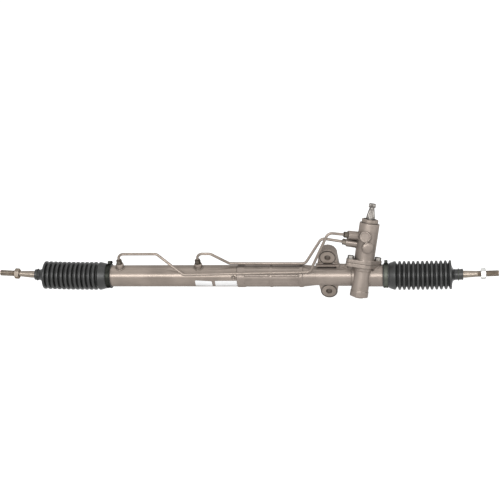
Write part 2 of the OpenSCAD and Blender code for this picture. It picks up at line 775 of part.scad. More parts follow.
module short_pipe() color(steel_paint) at_rack() bent_tube(concat(
    [[right_port_x, 0, port_top_z - pipe_thread_len - 0.5], [right_port_x, 0, pipe_high_z]],
    short_pipe_rise,
    [for (reach = [lower_port_corner, valve_port_len - pipe_thread_len - 1.5])
        on_port(lower_port_s, 0, reach)]
), pipe_r);

module pipe_nut() difference() {
    union() {
        hex(pipe_nut_af, pipe_nut_h);
        translate([0, 0, -pipe_thread_len]) cylinder(r = pipe_nut_thread_r, h = pipe_thread_len + 1);
    }
    translate([0, 0, -pipe_thread_len - cut])
        cylinder(r = pipe_r + seat_gap, h = pipe_thread_len + pipe_nut_h + 2 * cut);
}

module pipe_nuts() color(bronze_steel) at_rack() {
    for (x = [left_port_x, right_port_x]) translate([x, 0, port_top_z]) pipe_nut();
    on_tower(upper_port_s) rotate(upper_port_turn) rotate([0, -90, 0])
        translate([0, 0, valve_port_len]) pipe_nut();
    on_tower(lower_port_s) rotate([0, -90, 0]) translate([0, 0, valve_port_len - 1]) pipe_nut();
}

// Bellows and clamps

// Crest and valley corners from the first crest to the last, each with half the width of its flat
function folds(from, to, crest, valley, crest_flat, valley_flat) =
    let (pitch = (to - from) / (fold_count - 1)) [
        for (i = [0 : fold_count - 1]) each concat(
            [[from + i * pitch - (i == 0 ? 0 : crest_flat), crest]],
            [[from + i * pitch + crest_flat, crest]],
            i == fold_count - 1 ? [] : [
                [from + (i + 0.5) * pitch - valley_flat, valley],
                [from + (i + 0.5) * pitch + valley_flat, valley],
            ]
        )
    ];

// cuff holds the rubber's edge, the clamp's outer end and the first crest, and tail holds the
// last crest and the two ends of the small cuff
module bellows(side, seat_r, cuff, tail) {
    crest_r = bellows_d / 2;
    valley_r = bellows_valley_d / 2;
    cuff_r = seat_r + cuff_wall;
    shoulder_r = cuff_r + shoulder_step;
    outer = concat(
        [[cuff[0], 0], [cuff[0], cuff_r], [cuff[1], cuff_r], [cuff[1] + 2, shoulder_r]],
        folds(cuff[2], tail[0], crest_r, valley_r, 1, 1),
        [[tail[0] + 2.4, crest_r - 1.6], [tail[0] + 2.4, 0]]
    );
    wall_end = min(cuff[2] - 3, -socket_back - rack_travel + 3);
    inner = concat(
        [[cuff[0] - cut, 0], [cuff[0] - cut, seat_r + seat_gap], [wall_end, seat_r + seat_gap]],
        folds(cuff[2], tail[0], crest_r - rubber_t, valley_r - rubber_t, 0.5, 1.5),
        [[tail[0] + 1, crest_r - rubber_t - 1.2], [tail[0] + 1, 0]]
    );
    tail_r = shank_d / 2 + rubber_gap;
    neck_r = valley_r + 1.5;
    difference() {
        union() {
            outwards(side) rotate([0, 90, 0]) rotate_extrude() mirror([1, -1]) polygon(outer);
            along_rod(side) {
                along_x(tail[0] - 0.3)
                    cylinder(r1 = neck_r, r2 = tail_r + tail_wall, h = tail[1] - tail[0] + 0.3);
                rod_x(tail[1] - cut, tail[2], tail_r + tail_wall);
                rod_x(tail[2] - 3, tail[2] - 0.5, tail_r + tail_wall + 0.6);
            }
        }
        outwards(side) rotate([0, 90, 0]) rotate_extrude() mirror([1, -1]) polygon(inner);
        along_rod(side) {
            along_x(tail[0] - 0.5) cylinder(
                r1 = neck_r - rubber_t, r2 = tail_r + tail_wall - rubber_t,
                h = tail[1] - tail[0] + 0.3
            );
            rod_x(tail[0], tail[2] + cut, tail_r);
        }
    }
}

module left_bellows() color(rubber) at_rack() bellows(-1, tube_r, left_cuff, left_tail);

module right_bellows() color(rubber) at_rack()
    bellows(1, cuff_seat_r, right_cuff, right_tail);

// A band with the block that holds its screw
module clamp(side, seat_r, from) outwards(side) {
    band_r = seat_r + cuff_wall + seat_gap;
    ring_x(from, from + clamp_w, band_r + clamp_t, band_r);
    rotate([-clamp_turn, 0, 0]) translate([from, 0, band_r + 0.4])
        difference() {
            translate([-0.5, -7, 0]) cube([clamp_w + 1, 14, 7.2]);
            translate([clamp_w / 2, 10, 3.7]) rotate([90, 0, 0]) cylinder(r = 2.6, h = 20);
        }
}

module left_clamp() color(dark_steel) at_rack() clamp(-1, tube_r, left_cuff[0] + 0.7);

module right_clamp() color(dark_steel) at_rack() clamp(1, cuff_seat_r, right_cuff[0] + 1.8);

module clamp_screw(side, seat_r, from) outwards(side)
    rotate([-clamp_turn, 0, 0])
    translate([from + clamp_w / 2, 9, seat_r + cuff_wall + seat_gap + 4.1])
    rotate([90, 0, 0]) {
        cylinder(r = 2.6 - seat_gap, h = 17);
        translate([0, 0, -4]) hex(7, 4.5);
    }

module clamp_screws() color(dark_steel) at_rack() {
    clamp_screw(-1, tube_r, left_cuff[0] + 0.7);
    clamp_screw(1, cuff_seat_r, right_cuff[0] + 1.8);
}

// A sprung wire ring with two lugs to squeeze it
module small_clip(side, tail) along_rod(side) {
    ring_r = shank_d / 2 + rubber_gap + tail_wall + 0.3 + clip_wire_r;
    mid = (tail[1] + tail[2]) / 2;
    along_x(mid) rotate_extrude() translate([ring_r, 0]) circle(r = clip_wire_r);
    for (turn = [112, 138]) rotate([-turn, 0, 0]) translate([mid, 0, ring_r]) {
        cylinder(r = clip_wire_r - 0.05, h = 5);
        translate([0, 0, 5]) sphere(r = clip_wire_r + 0.3);
    }
}

module left_small_clip() color(dark_steel) at_rack() small_clip(-1, left_tail);

module right_small_clip() color(dark_steel) at_rack() small_clip(1, right_tail);

// Moving parts

module rack_bar() color(bare_steel) at_rack() difference() {
    union() {
        rod_x(bar_left_x + 1, bar_right_x - 1, bar_r);
        along_x(bar_left_x) cylinder(r1 = bar_r - 1, r2 = bar_r, h = 1);
        along_x(bar_right_x - 1) cylinder(r1 = bar_r, r2 = bar_r - 1, h = 1);
    }
    rod_x(bar_left_x - cut, bar_left_x + socket_stud_len, socket_stud_r);
    rod_x(bar_right_x - socket_stud_len, bar_right_x + cut, socket_stud_r);
    lean() translate([pinion_x - land_half_len, -2 * bar_r, -2 * bar_r])
        cube([2 * land_half_len, 2 * bar_r - tooth_land_h, 4 * bar_r]);
    lean() for (i = [-gaps_each_side : gaps_each_side])
        translate([pinion_x + i * rack_pitch, 0, 0]) rack_gap();
}

module piston() color(bare_steel) at_rack() difference() {
    rod_x(piston_x - piston_w / 2, piston_x + piston_w / 2, tube_bore_r - 0.25);
    rod_x(piston_x - piston_w, piston_x + piston_w, bar_r + seat_gap / 2);
    ring_x(piston_x - 2, piston_x + 2, tube_bore_r + cut, tube_bore_r - 3);
}

module piston_ring() color(plastic) at_rack()
    ring_x(piston_x - 1.95, piston_x + 1.95, tube_bore_r - running, tube_bore_r - 3 + seat_gap);

module socket(side) outwards(side) difference() {
    union() {
        rod_x(-socket_back, socket_front, socket_d / 2);
        rod_x(-socket_back - washer_t - socket_stud_len + 1, -socket_back + cut,
            socket_stud_r - seat_gap);
    }
    along_x() sphere(d = ball_d + 3.4);
    along_x(8.2) cylinder(r1 = 13.2, r2 = 17.7, h = 8.3);
    for (flat = [1, -1]) translate([-socket_back - cut, -socket_d, flat * 17 - (flat > 0 ? 0 : 10)])
        cube([12, 2 * socket_d, 10]);
}

module left_socket() color(dark_steel) at_rack() socket(-1);

module right_socket() color(dark_steel) at_rack() socket(1);

module lock_washer(side) outwards(side)
    ring_x(-socket_back - washer_t, -socket_back, 16.5, socket_stud_r + seat_gap);

module left_lock_washer() color(zinc) at_rack() lock_washer(-1);

module right_lock_washer() color(zinc) at_rack() lock_washer(1);

// A cup round the back of the ball
module ball_seat(side) along_rod(side) difference() {
    along_x() sphere(d = ball_d + 3);
    along_x() sphere(d = ball_d + 0.1);
    rod_x(4, 20, ball_d);
    rod_x(-20, 0, 2);
}

module left_ball_seat() color(plastic) at_rack() ball_seat(-1);

module right_ball_seat() color(plastic) at_rack() ball_seat(1);

module tie_rod(side, nut_at) along_rod(side) {
    stud_r = stud_d / 2;
    stud_x = nut_at + jam_nut_t / 2 + nut_clear;
    along_x() sphere(d = ball_d);
    rod_x(8, 23, 6.5);
    along_x(22) cylinder(r1 = 6.5, r2 = shank_d / 2, h = 8);
    rod_x(30, 82, shank_d / 2);
    along_x(82) cylinder(r1 = shank_d / 2, r2 = stud_r - 0.2, h = 24);
    // Behind and in the jam nut the thread is drawn at its depth
    rod_x(105, stud_x + cut, stud_r - thread_depth);
    rod_x(stud_x, tie_rod_len - 1.5, stud_r);
    along_x(tie_rod_len - 1.5) cylinder(r1 = stud_r, r2 = stud_r - 1.3, h = 1.5);
}

module left_tie_rod() color(bronze_steel) at_rack() tie_rod(-1, left_nut_at);

module right_tie_rod() color(bronze_steel) at_rack() tie_rod(1, right_nut_at);

module jam_nut(side, nut_at) along_rod(side) along_x(nut_at - jam_nut_t / 2) difference() {
    intersection() {
        hex(jam_nut_af, jam_nut_t);
        cylinder(r1 = jam_nut_af / 2 + 0.4 + 1.7 * jam_nut_t, r2 = jam_nut_af / 2 + 0.4, h = jam_nut_t);
    }
    translate([0, 0, -cut]) cylinder(r = stud_d / 2 + seat_gap, h = jam_nut_t + 2 * cut);
}

module left_jam_nut() color(bronze_steel) at_rack() jam_nut(-1, left_nut_at);

module right_jam_nut() color(zinc) at_rack() jam_nut(1, right_nut_at);

module pinion() color(bare_steel) at_rack() difference() {
    union() {
        on_tower(-pinion_face_w / 2) linear_extrude(pinion_face_w) pinion_outline();
        on_tower(lower_bearing_s) cylinder(r = lower_journal_r, h = -lower_bearing_s);
        on_tower(lower_nut_s) cylinder(r = 5, h = 10);
        on_tower(0) cylinder(r = root_r, h = upper_bearing_s - 3);
        on_tower(pinion_face_w / 2) cylinder(r1 = root_r, r2 = upper_journal_r, h = 3);
        on_tower(pinion_face_w / 2 + 2) cylinder(r = upper_journal_r, h = joint_s - 16);
        on_tower(joint_s + 0.4) cylinder(r = pinion_top_r, h = spool_s - joint_s - 2);
    }
    on_tower(4) cylinder(r = torsion_bore_r, h = 80);
}

module pinion_nut() color(zinc) at_rack() on_tower(lower_nut_s) difference() {
    hex(15, 6);
    translate([0, 0, -cut]) cylinder(r = 5 + seat_gap, h = 9);
}

module valve_sleeve() color(bare_steel) at_rack() on_tower(sleeve_low_s) difference() {
    sleeve_h = spool_top_s - sleeve_low_s;
    cylinder(r = valve_bore_r - running, h = sleeve_h);
    translate([0, 0, -cut]) cylinder(r = pinion_top_r + seat_gap / 2, h = 9);
    translate([0, 0, 7]) cylinder(r = valve_sleeve_bore_r, h = sleeve_h);
    for (i = [1 : 4]) translate([0, 0, i * sleeve_h / 5 - 1.2])
        ring(valve_bore_r + cut, valve_bore_r - 1.8, 2.4);
}

module valve_rings() color(plastic) at_rack() on_tower(sleeve_low_s)
    for (i = [1 : 4]) translate([0, 0, i * (spool_top_s - sleeve_low_s) / 5 - 1.1])
        ring(valve_bore_r - running, valve_bore_r - 1.8 + seat_gap, 2.2);

module input_shaft() color(bare_steel) at_rack() difference() {
    union() {
        on_tower(spool_s) cylinder(r = valve_sleeve_bore_r - running, h = spool_top_s - spool_s);
        on_tower(spool_top_s - cut) cylinder(r = input_journal_r, h = shaft_out_s - spool_top_s + cut);
        on_tower(shaft_out_s)
            cylinder(r1 = 9.3, r2 = 5.8, h = input_tip_s - spline_len - 3 - shaft_out_s);
        on_tower(input_tip_s - spline_len - 4) cylinder(r = 5.2, h = 5);
        on_tower(input_tip_s - spline_len) cylinder(d = input_head_d, h = spline_len - 1);
        on_tower(input_tip_s - 1) cylinder(r1 = input_head_d / 2, r2 = input_head_d / 2 - 1, h = 1);
    }
    on_tower(spool_s - cut) cylinder(r = torsion_bore_r, h = input_tip_s - 8 - spool_s);
    on_tower(shaft_out_s + 4) translate([0, 12, 0]) rotate([90, 0, 0]) cylinder(r = 1.8, h = 24);
    for (s = [spool_s + 12, spool_s + 24, spool_s + 36]) on_tower(s)
        ring(valve_sleeve_bore_r + cut, valve_sleeve_bore_r - 1.2, 3);
}

module torsion_bar() color(dark_steel) at_rack() difference() {
    on_tower(6) cylinder(r = torsion_bar_r, h = input_tip_s - 18);
    on_tower(shaft_out_s + 4) translate([0, 12, 0]) rotate([90, 0, 0]) cylinder(r = 1.8, h = 24);
}

module torsion_pin() color(bare_steel) at_rack() on_tower(shaft_out_s + 4)
    translate([0, 7, 0]) rotate([90, 0, 0]) cylinder(r = 1.8 - seat_gap, h = 14);

rack_housing();
cylinder_tube();
tube_end_bush();
tube_end_seal();
bulkhead();
bulkhead_seal();
valve_housing();
valve_cap();
port_plug();
input_bearing();
input_seal();
pinion_upper_bearing();
pinion_lower_bearing();
pinion_seal();
bottom_plug();
valve_bolts();
rack_yoke();
yoke_spring();
yoke_plug();
yoke_locknut();
upper_eye_bush();
lower_eye_bush();
upper_eye_sleeve();
lower_eye_sleeve();
long_pipe();
short_pipe();
pipe_nuts();
left_bellows();
right_bellows();
left_clamp();
right_clamp();
clamp_screws();
rack_bar();
piston();
piston_ring();
left_socket();
right_socket();
left_lock_washer();
right_lock_washer();
pinion();
pinion_nut();
valve_sleeve();
valve_rings();
input_shaft();
torsion_bar();
torsion_pin();
left_ball_seat();
right_ball_seat();
left_tie_rod();
right_tie_rod();
left_jam_nut();
right_jam_nut();
left_small_clip();
right_small_clip();
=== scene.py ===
"""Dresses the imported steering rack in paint, rubber bellows, threads, splines and labels."""

import json
import math

import bmesh
import bpy
from mathutils import Matrix, Vector


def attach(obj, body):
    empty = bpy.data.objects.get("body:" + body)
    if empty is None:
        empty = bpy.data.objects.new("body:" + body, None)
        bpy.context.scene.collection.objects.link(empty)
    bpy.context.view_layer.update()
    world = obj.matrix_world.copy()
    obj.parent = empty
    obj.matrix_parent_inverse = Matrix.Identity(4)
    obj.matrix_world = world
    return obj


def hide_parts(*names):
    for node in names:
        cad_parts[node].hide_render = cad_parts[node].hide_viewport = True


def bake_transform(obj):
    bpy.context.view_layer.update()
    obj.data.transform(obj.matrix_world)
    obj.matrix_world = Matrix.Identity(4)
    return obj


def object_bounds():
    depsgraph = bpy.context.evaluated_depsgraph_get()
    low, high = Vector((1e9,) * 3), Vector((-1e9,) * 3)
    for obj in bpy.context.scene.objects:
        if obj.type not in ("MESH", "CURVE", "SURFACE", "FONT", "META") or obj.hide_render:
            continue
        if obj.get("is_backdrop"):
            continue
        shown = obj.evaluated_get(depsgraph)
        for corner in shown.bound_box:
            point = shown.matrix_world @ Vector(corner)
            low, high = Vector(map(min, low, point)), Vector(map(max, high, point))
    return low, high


bl_info = {
    "name": "Steering rack looks",
    "version": (1, 0, 0),
    "blender": (4, 5, 0),
    "location": "3D View > Sidebar > Steering rack",
    "description": "Builds the visible detail of a hydraulic steering rack around its CAD frame",
    "category": "Object",
}

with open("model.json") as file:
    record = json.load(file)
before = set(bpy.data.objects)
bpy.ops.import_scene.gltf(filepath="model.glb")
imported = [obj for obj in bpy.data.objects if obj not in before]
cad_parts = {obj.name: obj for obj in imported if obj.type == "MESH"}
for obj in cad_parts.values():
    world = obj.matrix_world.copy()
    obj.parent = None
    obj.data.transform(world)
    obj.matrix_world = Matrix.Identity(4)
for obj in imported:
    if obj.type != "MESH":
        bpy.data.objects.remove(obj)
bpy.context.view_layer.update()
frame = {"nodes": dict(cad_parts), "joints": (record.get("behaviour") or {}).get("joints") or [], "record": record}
MM = 0.001
TURN = 2 * math.pi


# Places, all read from the frame


def joint(name):
    """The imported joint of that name."""
    return next(j for j in frame["joints"] if j["name"] == name)


def frame_at(place, x_axis, z_hint):
    """A matrix whose X points along x_axis and whose Z lies as near as it can to z_hint."""
    x = Vector(x_axis).normalized()
    y = Vector(z_hint).cross(x).normalized()
    z = x.cross(y)
    out = Matrix((x, y, z)).transposed().to_4x4()
    out.translation = place
    return out


BALL = {side: Vector(joint(f"{side}_rod_lift")["pos_m"]) for side in ("left", "right")}
SIDE_SIGN = {"left": -1, "right": 1}
RACK_Y = BALL["right"].y
TOWER_FOOT = Vector(joint("pinion_turn")["pos_m"])
TOWER_AXIS = Vector(joint("pinion_turn")["axis"]).normalized()
MOUNTS = {mount["name"]: mount for mount in frame["record"]["mounts"]}


def outwards(side):
    """The frame of a ball centre, with X out along the rack."""
    return frame_at(BALL[side], (SIDE_SIGN[side], 0, 0), (0, 0, 1))


def along_rod(side):
    """The frame of a ball centre, with X out along the resting tie rod."""
    return frame_at(BALL[side], MOUNTS[f"{side}_tie_rod_stud"]["axis"], (0, 0, 1))


def tower_at(height):
    """The frame of the pinion axis at a height in metres, with X up the axis and Z to the back."""
    back = Vector((1, 0, 0)).cross(TOWER_AXIS)
    return frame_at(TOWER_FOOT + TOWER_AXIS * height, TOWER_AXIS, -back)


# Meshes

CORNER_CUT = 0.25  # share of an outline's side that each rounding takes off at its ends
CHAMFER_START = 0.97  # share of a nut's half width at which its chamfer starts
CHAMFER_SLOPE = 1.9
FLANGE_LIP = 0.18  # share of a bolt head's height
THREAD_RINGS = 6  # rings along one pitch


def in_metres(points):
    """An outline of (x, r) points in millimetres, turned into metres."""
    return [(x * MM, r * MM) for x, r in points]


def mesh_object(name, vertices, faces):
    """A new smooth mesh object in the scene."""
    mesh = bpy.data.meshes.new(name)
    mesh.from_pydata([tuple(v) for v in vertices], [], faces)
    mesh.validate()
    mesh.polygons.foreach_set("use_smooth", [True] * len(mesh.polygons))
    obj = bpy.data.objects.new(name, mesh)
    bpy.context.scene.collection.objects.link(obj)
    return obj


def tidy(obj, sharp_deg=35):
    """Recalculates the outward normals and marks the edges that stay sharp."""
    work = bmesh.new()
    work.from_mesh(obj.data)
    bmesh.ops.remove_doubles(work, verts=work.verts, dist=1e-7)
    bmesh.ops.recalc_face_normals(work, faces=work.faces)
    limit = math.radians(sharp_deg)
    for edge in work.edges:
        edge.smooth = len(edge.link_faces) == 2 and edge.calc_face_angle(0) < limit
    work.to_mesh(obj.data)
    work.free()
    return obj


def join(name, parts):
    """Joins meshes into one object."""
    work = bmesh.new()
    for part in parts:
        work.from_mesh(part.data)
        bpy.data.objects.remove(part)
    mesh = bpy.data.meshes.new(name)
    work.to_mesh(mesh)
    work.free()
    obj = bpy.data.objects.new(name, mesh)
    bpy.context.scene.collection.objects.link(obj)
    return obj


def lathe(name, profile, place, segments=72, radius_at=None, closed=True):
    """Turns (x, r) points about the X axis. radius_at(x, r, angle) may change each radius."""
    rings, vertices, faces = [], [], []
    for x, r in profile:
        if r <= 0:
            rings.append([len(vertices)] * segments)
            vertices.append(place @ Vector((x, 0, 0)))
            continue
        rings.append([len(vertices) + k for k in range(segments)])
        for k in range(segments):
            angle = TURN * k / segments
            reach = radius_at(x, r, angle) if radius_at else r
            vertices.append(
                place @ Vector((x, reach * math.sin(angle), reach * math.cos(angle)))
            )
    pairs = list(zip(rings, rings[1:]))
    if closed:
        pairs.append((rings[-1], rings[0]))
    for low, high in pairs:
        for k in range(segments):
            n = (k + 1) % segments
            face = list(dict.fromkeys((low[k], low[n], high[n], high[k])))
            if len(face) > 2:
                faces.append(face)
    return tidy(mesh_object(name, vertices, faces))


def bead(name, points, radius, segments=12):
    """A round bead along a closed loop of points."""
    vertices, faces = [], []
    count = len(points)
    side = None
    for i, point in enumerate(points):
        along = (points[(i + 1) % count] - points[i - 1]).normalized()
        hint = side or along.orthogonal()
        side = (hint - along * hint.dot(along)).normalized()
        other = along.cross(side)
        for k in range(segments):
            angle = TURN * k / segments
            vertices.append(
                point + (side * math.cos(angle) + other * math.sin(angle)) * radius
            )
    for i in range(count):
        here, there = i * segments, (i + 1) % count * segments
        for k in range(segments):
            n = (k + 1) % segments
            faces.append((here + k, here + n, there + n, there + k))
    return tidy(mesh_object(name, vertices, faces), sharp_deg=60)


def rounded(points, passes):
    """Cuts the corners of an open outline again and again, which rounds them."""
    for _ in range(passes):
        new = [points[0]]
        for (ax, ar), (bx, br) in zip(points, points[1:]):
            cut_x, cut_r = (bx - ax) * CORNER_CUT, (br - ar) * CORNER_CUT
            new += [(ax + cut_x, ar + cut_r), (bx - cut_x, br - cut_r)]
        points = [*new, points[-1]]
    return points


def hexagon_radius(across, angle):
    """Distance from the middle of a hexagon to its side."""
    return across / 2 / math.cos((angle + math.pi / 6) % (math.pi / 3) - math.pi / 6)


def nut(name, place, across, height, hole_r=0, chamfer=(True, True), flange_r=0):
    """A hexagon nut or bolt head standing on x = 0, chamfered at its foot and its top."""
    corner = across / math.sqrt(3)
    start = across / 2 * CHAMFER_START
    drop = (corner - start) / CHAMFER_SLOPE
    steps = [drop * share for share in (0, 0.33, 0.66, 1)]
    low = steps if chamfer[0] else [0]
    high = [height - s for s in reversed(steps)] if chamfer[1] else [height]
    profile = [(x, corner) for x in low + high]

    def radius_at(x, r, angle):
        if abs(r - corner) > 1e-6:
            return r
        limit = corner
        if chamfer[0]:
            limit = min(limit, start + x * CHAMFER_SLOPE)
        if chamfer[1]:
            limit = min(limit, start + (height - x) * CHAMFER_SLOPE)
        return min(hexagon_radius(across, angle), limit)

    if flange_r:
        lip = height * FLANGE_LIP
        flange = [(0, flange_r), (lip * 0.5, flange_r), (lip, flange_r * 0.93)]
        profile = flange + [(max(lip, x), r) for x, r in profile]
    profile += [(height, hole_r), (0, hole_r)]
    return lathe(name, profile, place, radius_at=radius_at)


def threaded(name, place, start, end, radius, pitch, depth):
    """A threaded length of rod between two x positions."""
    steps = round((end - start) / pitch * THREAD_RINGS)
    profile = [(start, 0)]
    profile += [(start + (end - start) * i / steps, radius) for i in range(steps + 1)]
    profile += [(end, 0)]

    def radius_at(x, r, angle):
        wave = abs(2 * ((x / pitch - angle / TURN) % 1) - 1)
        fade = min(1, (x - start) / pitch, (end - x) / pitch)
        return r - depth * wave * max(fade, 0)

    return lathe(name, profile, place, segments=48, radius_at=radius_at)


def softened(node, name, voxel, passes, ribs):
    """A copy of a CAD node with ribs cast on and its edges rounded."""
    obj = frame["nodes"][node].copy()
    obj.data = obj.data.copy()
    obj.name = name
    obj.parent = None
    obj.matrix_world = Matrix.Identity(4)
    bpy.context.scene.collection.objects.link(obj)
    work = bmesh.new()
    work.from_mesh(obj.data)
    bmesh.ops.remove_doubles(work, verts=work.verts, dist=1e-6)
    for rib in ribs:
        bmesh.ops.create_cube(work, matrix=rib)
    work.to_mesh(obj.data)
    work.free()
    remesh = obj.modifiers.new("Skin", "REMESH")
    remesh.mode = "VOXEL"
    remesh.voxel_size = voxel
    remesh.use_smooth_shade = True
    smooth = obj.modifiers.new("Soften", "SMOOTH")
    smooth.factor = 0.5
    smooth.iterations = passes
    evaluated = obj.evaluated_get(bpy.context.evaluated_depsgraph_get())
    mesh = bpy.data.meshes.new_from_object(evaluated)
    obj.modifiers.clear()
    obj.data = mesh
    obj.data.polygons.foreach_set("use_smooth", [True] * len(obj.data.polygons))
    return obj


# Shaders


class Value:
    """A shader number, as a socket that Python's operators add Math nodes to."""

    def __init__(self, surface, socket):
        self.surface = surface
        self.socket = socket

    def _math(self, operation, a, b):
        node = self.surface.add("ShaderNodeMath", {"operation": operation}, {0: a, 1: b})
        return Value(self.surface, node.outputs[0])

    def __add__(self, other):
        return self._math("ADD", self, other)

    def __radd__(self, other):
        return self._math("ADD", other, self)

    def __sub__(self, other):
        return self._math("SUBTRACT", self, other)

    def __rsub__(self, other):
        return self._math("SUBTRACT", other, self)

    def __mul__(self, other):
        return self._math("MULTIPLY", self, other)

    def __rmul__(self, other):
        return self._math("MULTIPLY", other, self)

    def step(self, low, high):
        """Rises from 0 to 1 as the value goes from low to high."""
        node = self.surface.add(
            "ShaderNodeMapRange",
            {"interpolation_type": "SMOOTHSTEP"},
            {"Value": self, "From Min": low, "From Max": high},
        )
        return Value(self.surface, node.outputs[0])


class Nodes:
    """A node tree that starts empty."""

    def __init__(self, owner):
        owner.use_nodes = True
        self.tree = owner.node_tree
        self.tree.nodes.clear()

    def add(self, kind, settings=None, values=None):
        """Adds a node: settings first, then the values or links of its sockets."""
        node = self.tree.nodes.new(kind)
        for key, setting in (settings or {}).items():
            setattr(node, key, setting)
        self.feed(node, values or {})
        return node

    def feed(self, node, values):
        """Sets or links a node's inputs."""
        for key, value in values.items():
            socket = node.inputs[key]
            if isinstance(value, Value):
                value = value.socket
            if isinstance(value, bpy.types.NodeSocket):
                self.tree.links.new(value, socket)
            elif socket.type == "RGBA" and len(value) == 3:
                socket.default_value = (*value, 1)
            else:
                socket.default_value = value

    def seen(self):
        """1 for the rays that show the background: camera, glossy and transmission rays."""
        path = self.add("ShaderNodeLightPath")
        rays = ("Is Camera Ray", "Is Glossy Ray", "Is Transmission Ray")
        camera, glossy, through = (Value(self, path.outputs[ray]) for ray in rays)
        return camera + glossy + through


class Surface(Nodes):
    """A material made of nodes around one Principled shader."""

    def __init__(self, name):
        self.material = bpy.data.materials.new(name)
        super().__init__(self.material)
        self.shader = self.add("ShaderNodeBsdfPrincipled")
        self.add("ShaderNodeOutputMaterial", values={"Surface": self.shader.outputs[0]})

    def set(self, **values):
        """Sets or links the Principled shader's inputs, with _ for each space."""
        self.feed(self.shader, {k.replace("_", " "): v for k, v in values.items()})

    def noise(self, size, detail):
        """Noise on the object's own coordinates, with features about size metres across."""
        coords = self.add("ShaderNodeTexCoord")
        node = self.add(
            "ShaderNodeTexNoise",
            values={
                "Vector": coords.outputs["Object"],
                "Scale": 1 / size,
                "Detail": detail,
                "Roughness": 0.55,
            },
        )
        return Value(self, node.outputs[0])

    def mix(self, factor, a, b):
        """A colour between a and b."""
        node = self.add("ShaderNodeMix", {"data_type": "RGBA"}, {0: factor, 6: a, 7: b})
        return node.outputs[2]

    def painted_corner_shade(self, reach):
        """The mask of painted corner shade: 0 in the open, rising to 1 in corners that other faces stand round
        within reach.
        """
        node = self.add("ShaderNodeAmbientOcclusion", {"samples": 8}, {"Distance": reach})
        return 1 - Value(self, node.outputs["AO"]).step(0.5, 1)

    def bump(self, height, distance):
        """Feeds a height, as a share of distance in metres, to the shader's normal."""
        node = self.add("ShaderNodeBump", values={"Height": height, "Distance": distance})
        self.feed(self.shader, {"Normal": node.outputs[0]})


def tint(colour, share):
    """A colour made lighter or darker by a share."""
    return tuple(min(1, c * share) for c in colour)


def paint(name, colour, grain, depth, roughness):
    """Sprayed metallic-grey paint over metal, with thin places and painted shade in its corners."""
    s = Surface(name)
    cloud = s.noise(50 * MM, 4)
    fleck = s.noise(1.2 * MM, 2)
    skin = s.noise(grain, 3)
    base = s.mix(cloud.step(0.3, 0.7), tint(colour, 0.86), tint(colour, 1.12))
    base = s.mix(fleck.step(0.45, 0.8) * 0.35, base, tint(colour, 1.35))
    # Painted shade: corners and recesses darken towards a dark tint of the paint.
    base = s.mix(s.painted_corner_shade(6 * MM) * 0.85, base, tint(colour, 0.12))
    s.set(
        Base_Color=base,
        Metallic=0.45,
        Specular_Tint=tint(colour, 1.3),
        Specular_IOR_Level=0.35,
        Roughness=roughness + cloud * 0.12 + (fleck - 0.5) * 0.1,
    )
    s.bump(skin + fleck * 0.4, depth)
    return s.material


def steel(name, colour, roughness):
    """Turned or rolled steel with fine scratches and a little tarnish."""
    s = Surface(name)
    lines = s.noise(0.6 * MM, 2)
    stain = s.noise(12 * MM, 4)
    s.set(
        Base_Color=s.mix(stain.step(0.35, 0.75), tint(colour, 0.78), tint(colour, 1.1)),
        Metallic=0.9,
        Specular_Tint=tint(colour, 0.8),
        Roughness=roughness + lines * 0.15 + stain * 0.1,
    )
    s.bump(lines, 0.04 * MM)
    return s.material


def rubber(name, colour, roughness):
    """Moulded rubber with bloom and a soft sheen."""
    s = Surface(name)
    bloom = s.noise(30 * MM, 4)
    skin = s.noise(0.9 * MM, 2)
    s.set(
        Base_Color=s.mix(bloom.step(0.3, 0.75), colour, tint(colour, 1.9)),
        Roughness=roughness + bloom * 0.15 + (skin - 0.5) * 0.08,
        Specular_IOR_Level=0.55,
    )
    s.bump(skin, 0.06 * MM)
    return s.material


def plastic(name, colour, roughness):
    """Plain moulded plastic or printed film."""
    s = Surface(name)
    cloud = s.noise(20 * MM, 3)
    skin = s.noise(0.8 * MM, 2)
    s.set(
        Base_Color=s.mix(cloud.step(0.3, 0.7), tint(colour, 0.94), tint(colour, 1.03)),
        Roughness=roughness + cloud * 0.1,
    )
    s.bump(skin, 0.03 * MM)
    return s.material


# Each finish: its maker, its colour, how far that is tinted, and the maker's own settings
FINISHES = {
    "cast_paint": (paint, "casting", 1, 2.2 * MM, 0.25 * MM, 0.3),
    "steel_paint": (paint, "tube", 1, 1.6 * MM, 0.04 * MM, 0.26),
    "bare_steel": (steel, "steel", 1, 0.24),
    "dark_steel": (steel, "dark", 1, 0.38),
    "black_steel": (steel, "dark", 0.3, 0.3),
    "zinc": (steel, "zinc", 1, 0.42),
    "white_zinc": (steel, "white_zinc", 1, 0.25),
    "toned_steel": (steel, "toned", 1, 0.22),
    "dark_toned": (steel, "toned", 0.5, 0.32),
    "rubber": (rubber, "rubber", 1, 0.36),
    "painted_rubber": (rubber, "casting", 0.36, 0.42),
    "plastic": (plastic, "plastic", 1, 0.45),
    "label": (plastic, "label", 1, 0.5),
}
# CAD nodes that show another finish than their slot's
OVERSPRAYED = {
    "upper_eye_bush": "painted_rubber",
    "lower_eye_bush": "painted_rubber",
    "pipe_nuts": "dark_toned",
}
MATERIALS = {}


def finish(obj, name):
    """Gives an object the named finish, whose material is made at its first use."""
    if name not in MATERIALS:
        maker, colour, share, *settings = FINISHES[name]
        colours = bpy.context.scene.steering_rack_colours
        MATERIALS[name] = maker(name, tint(getattr(colours, colour), share), *settings)
    obj.data.materials.clear()
    obj.data.materials.append(MATERIALS[name])


def seat(obj, finish_name, body, *nodes):
    """Finishes a piece, hangs it on a body and hides the CAD nodes it stands for."""
    finish(obj, finish_name)
    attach(obj, body)
    if nodes:
        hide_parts(*nodes)


# Settings


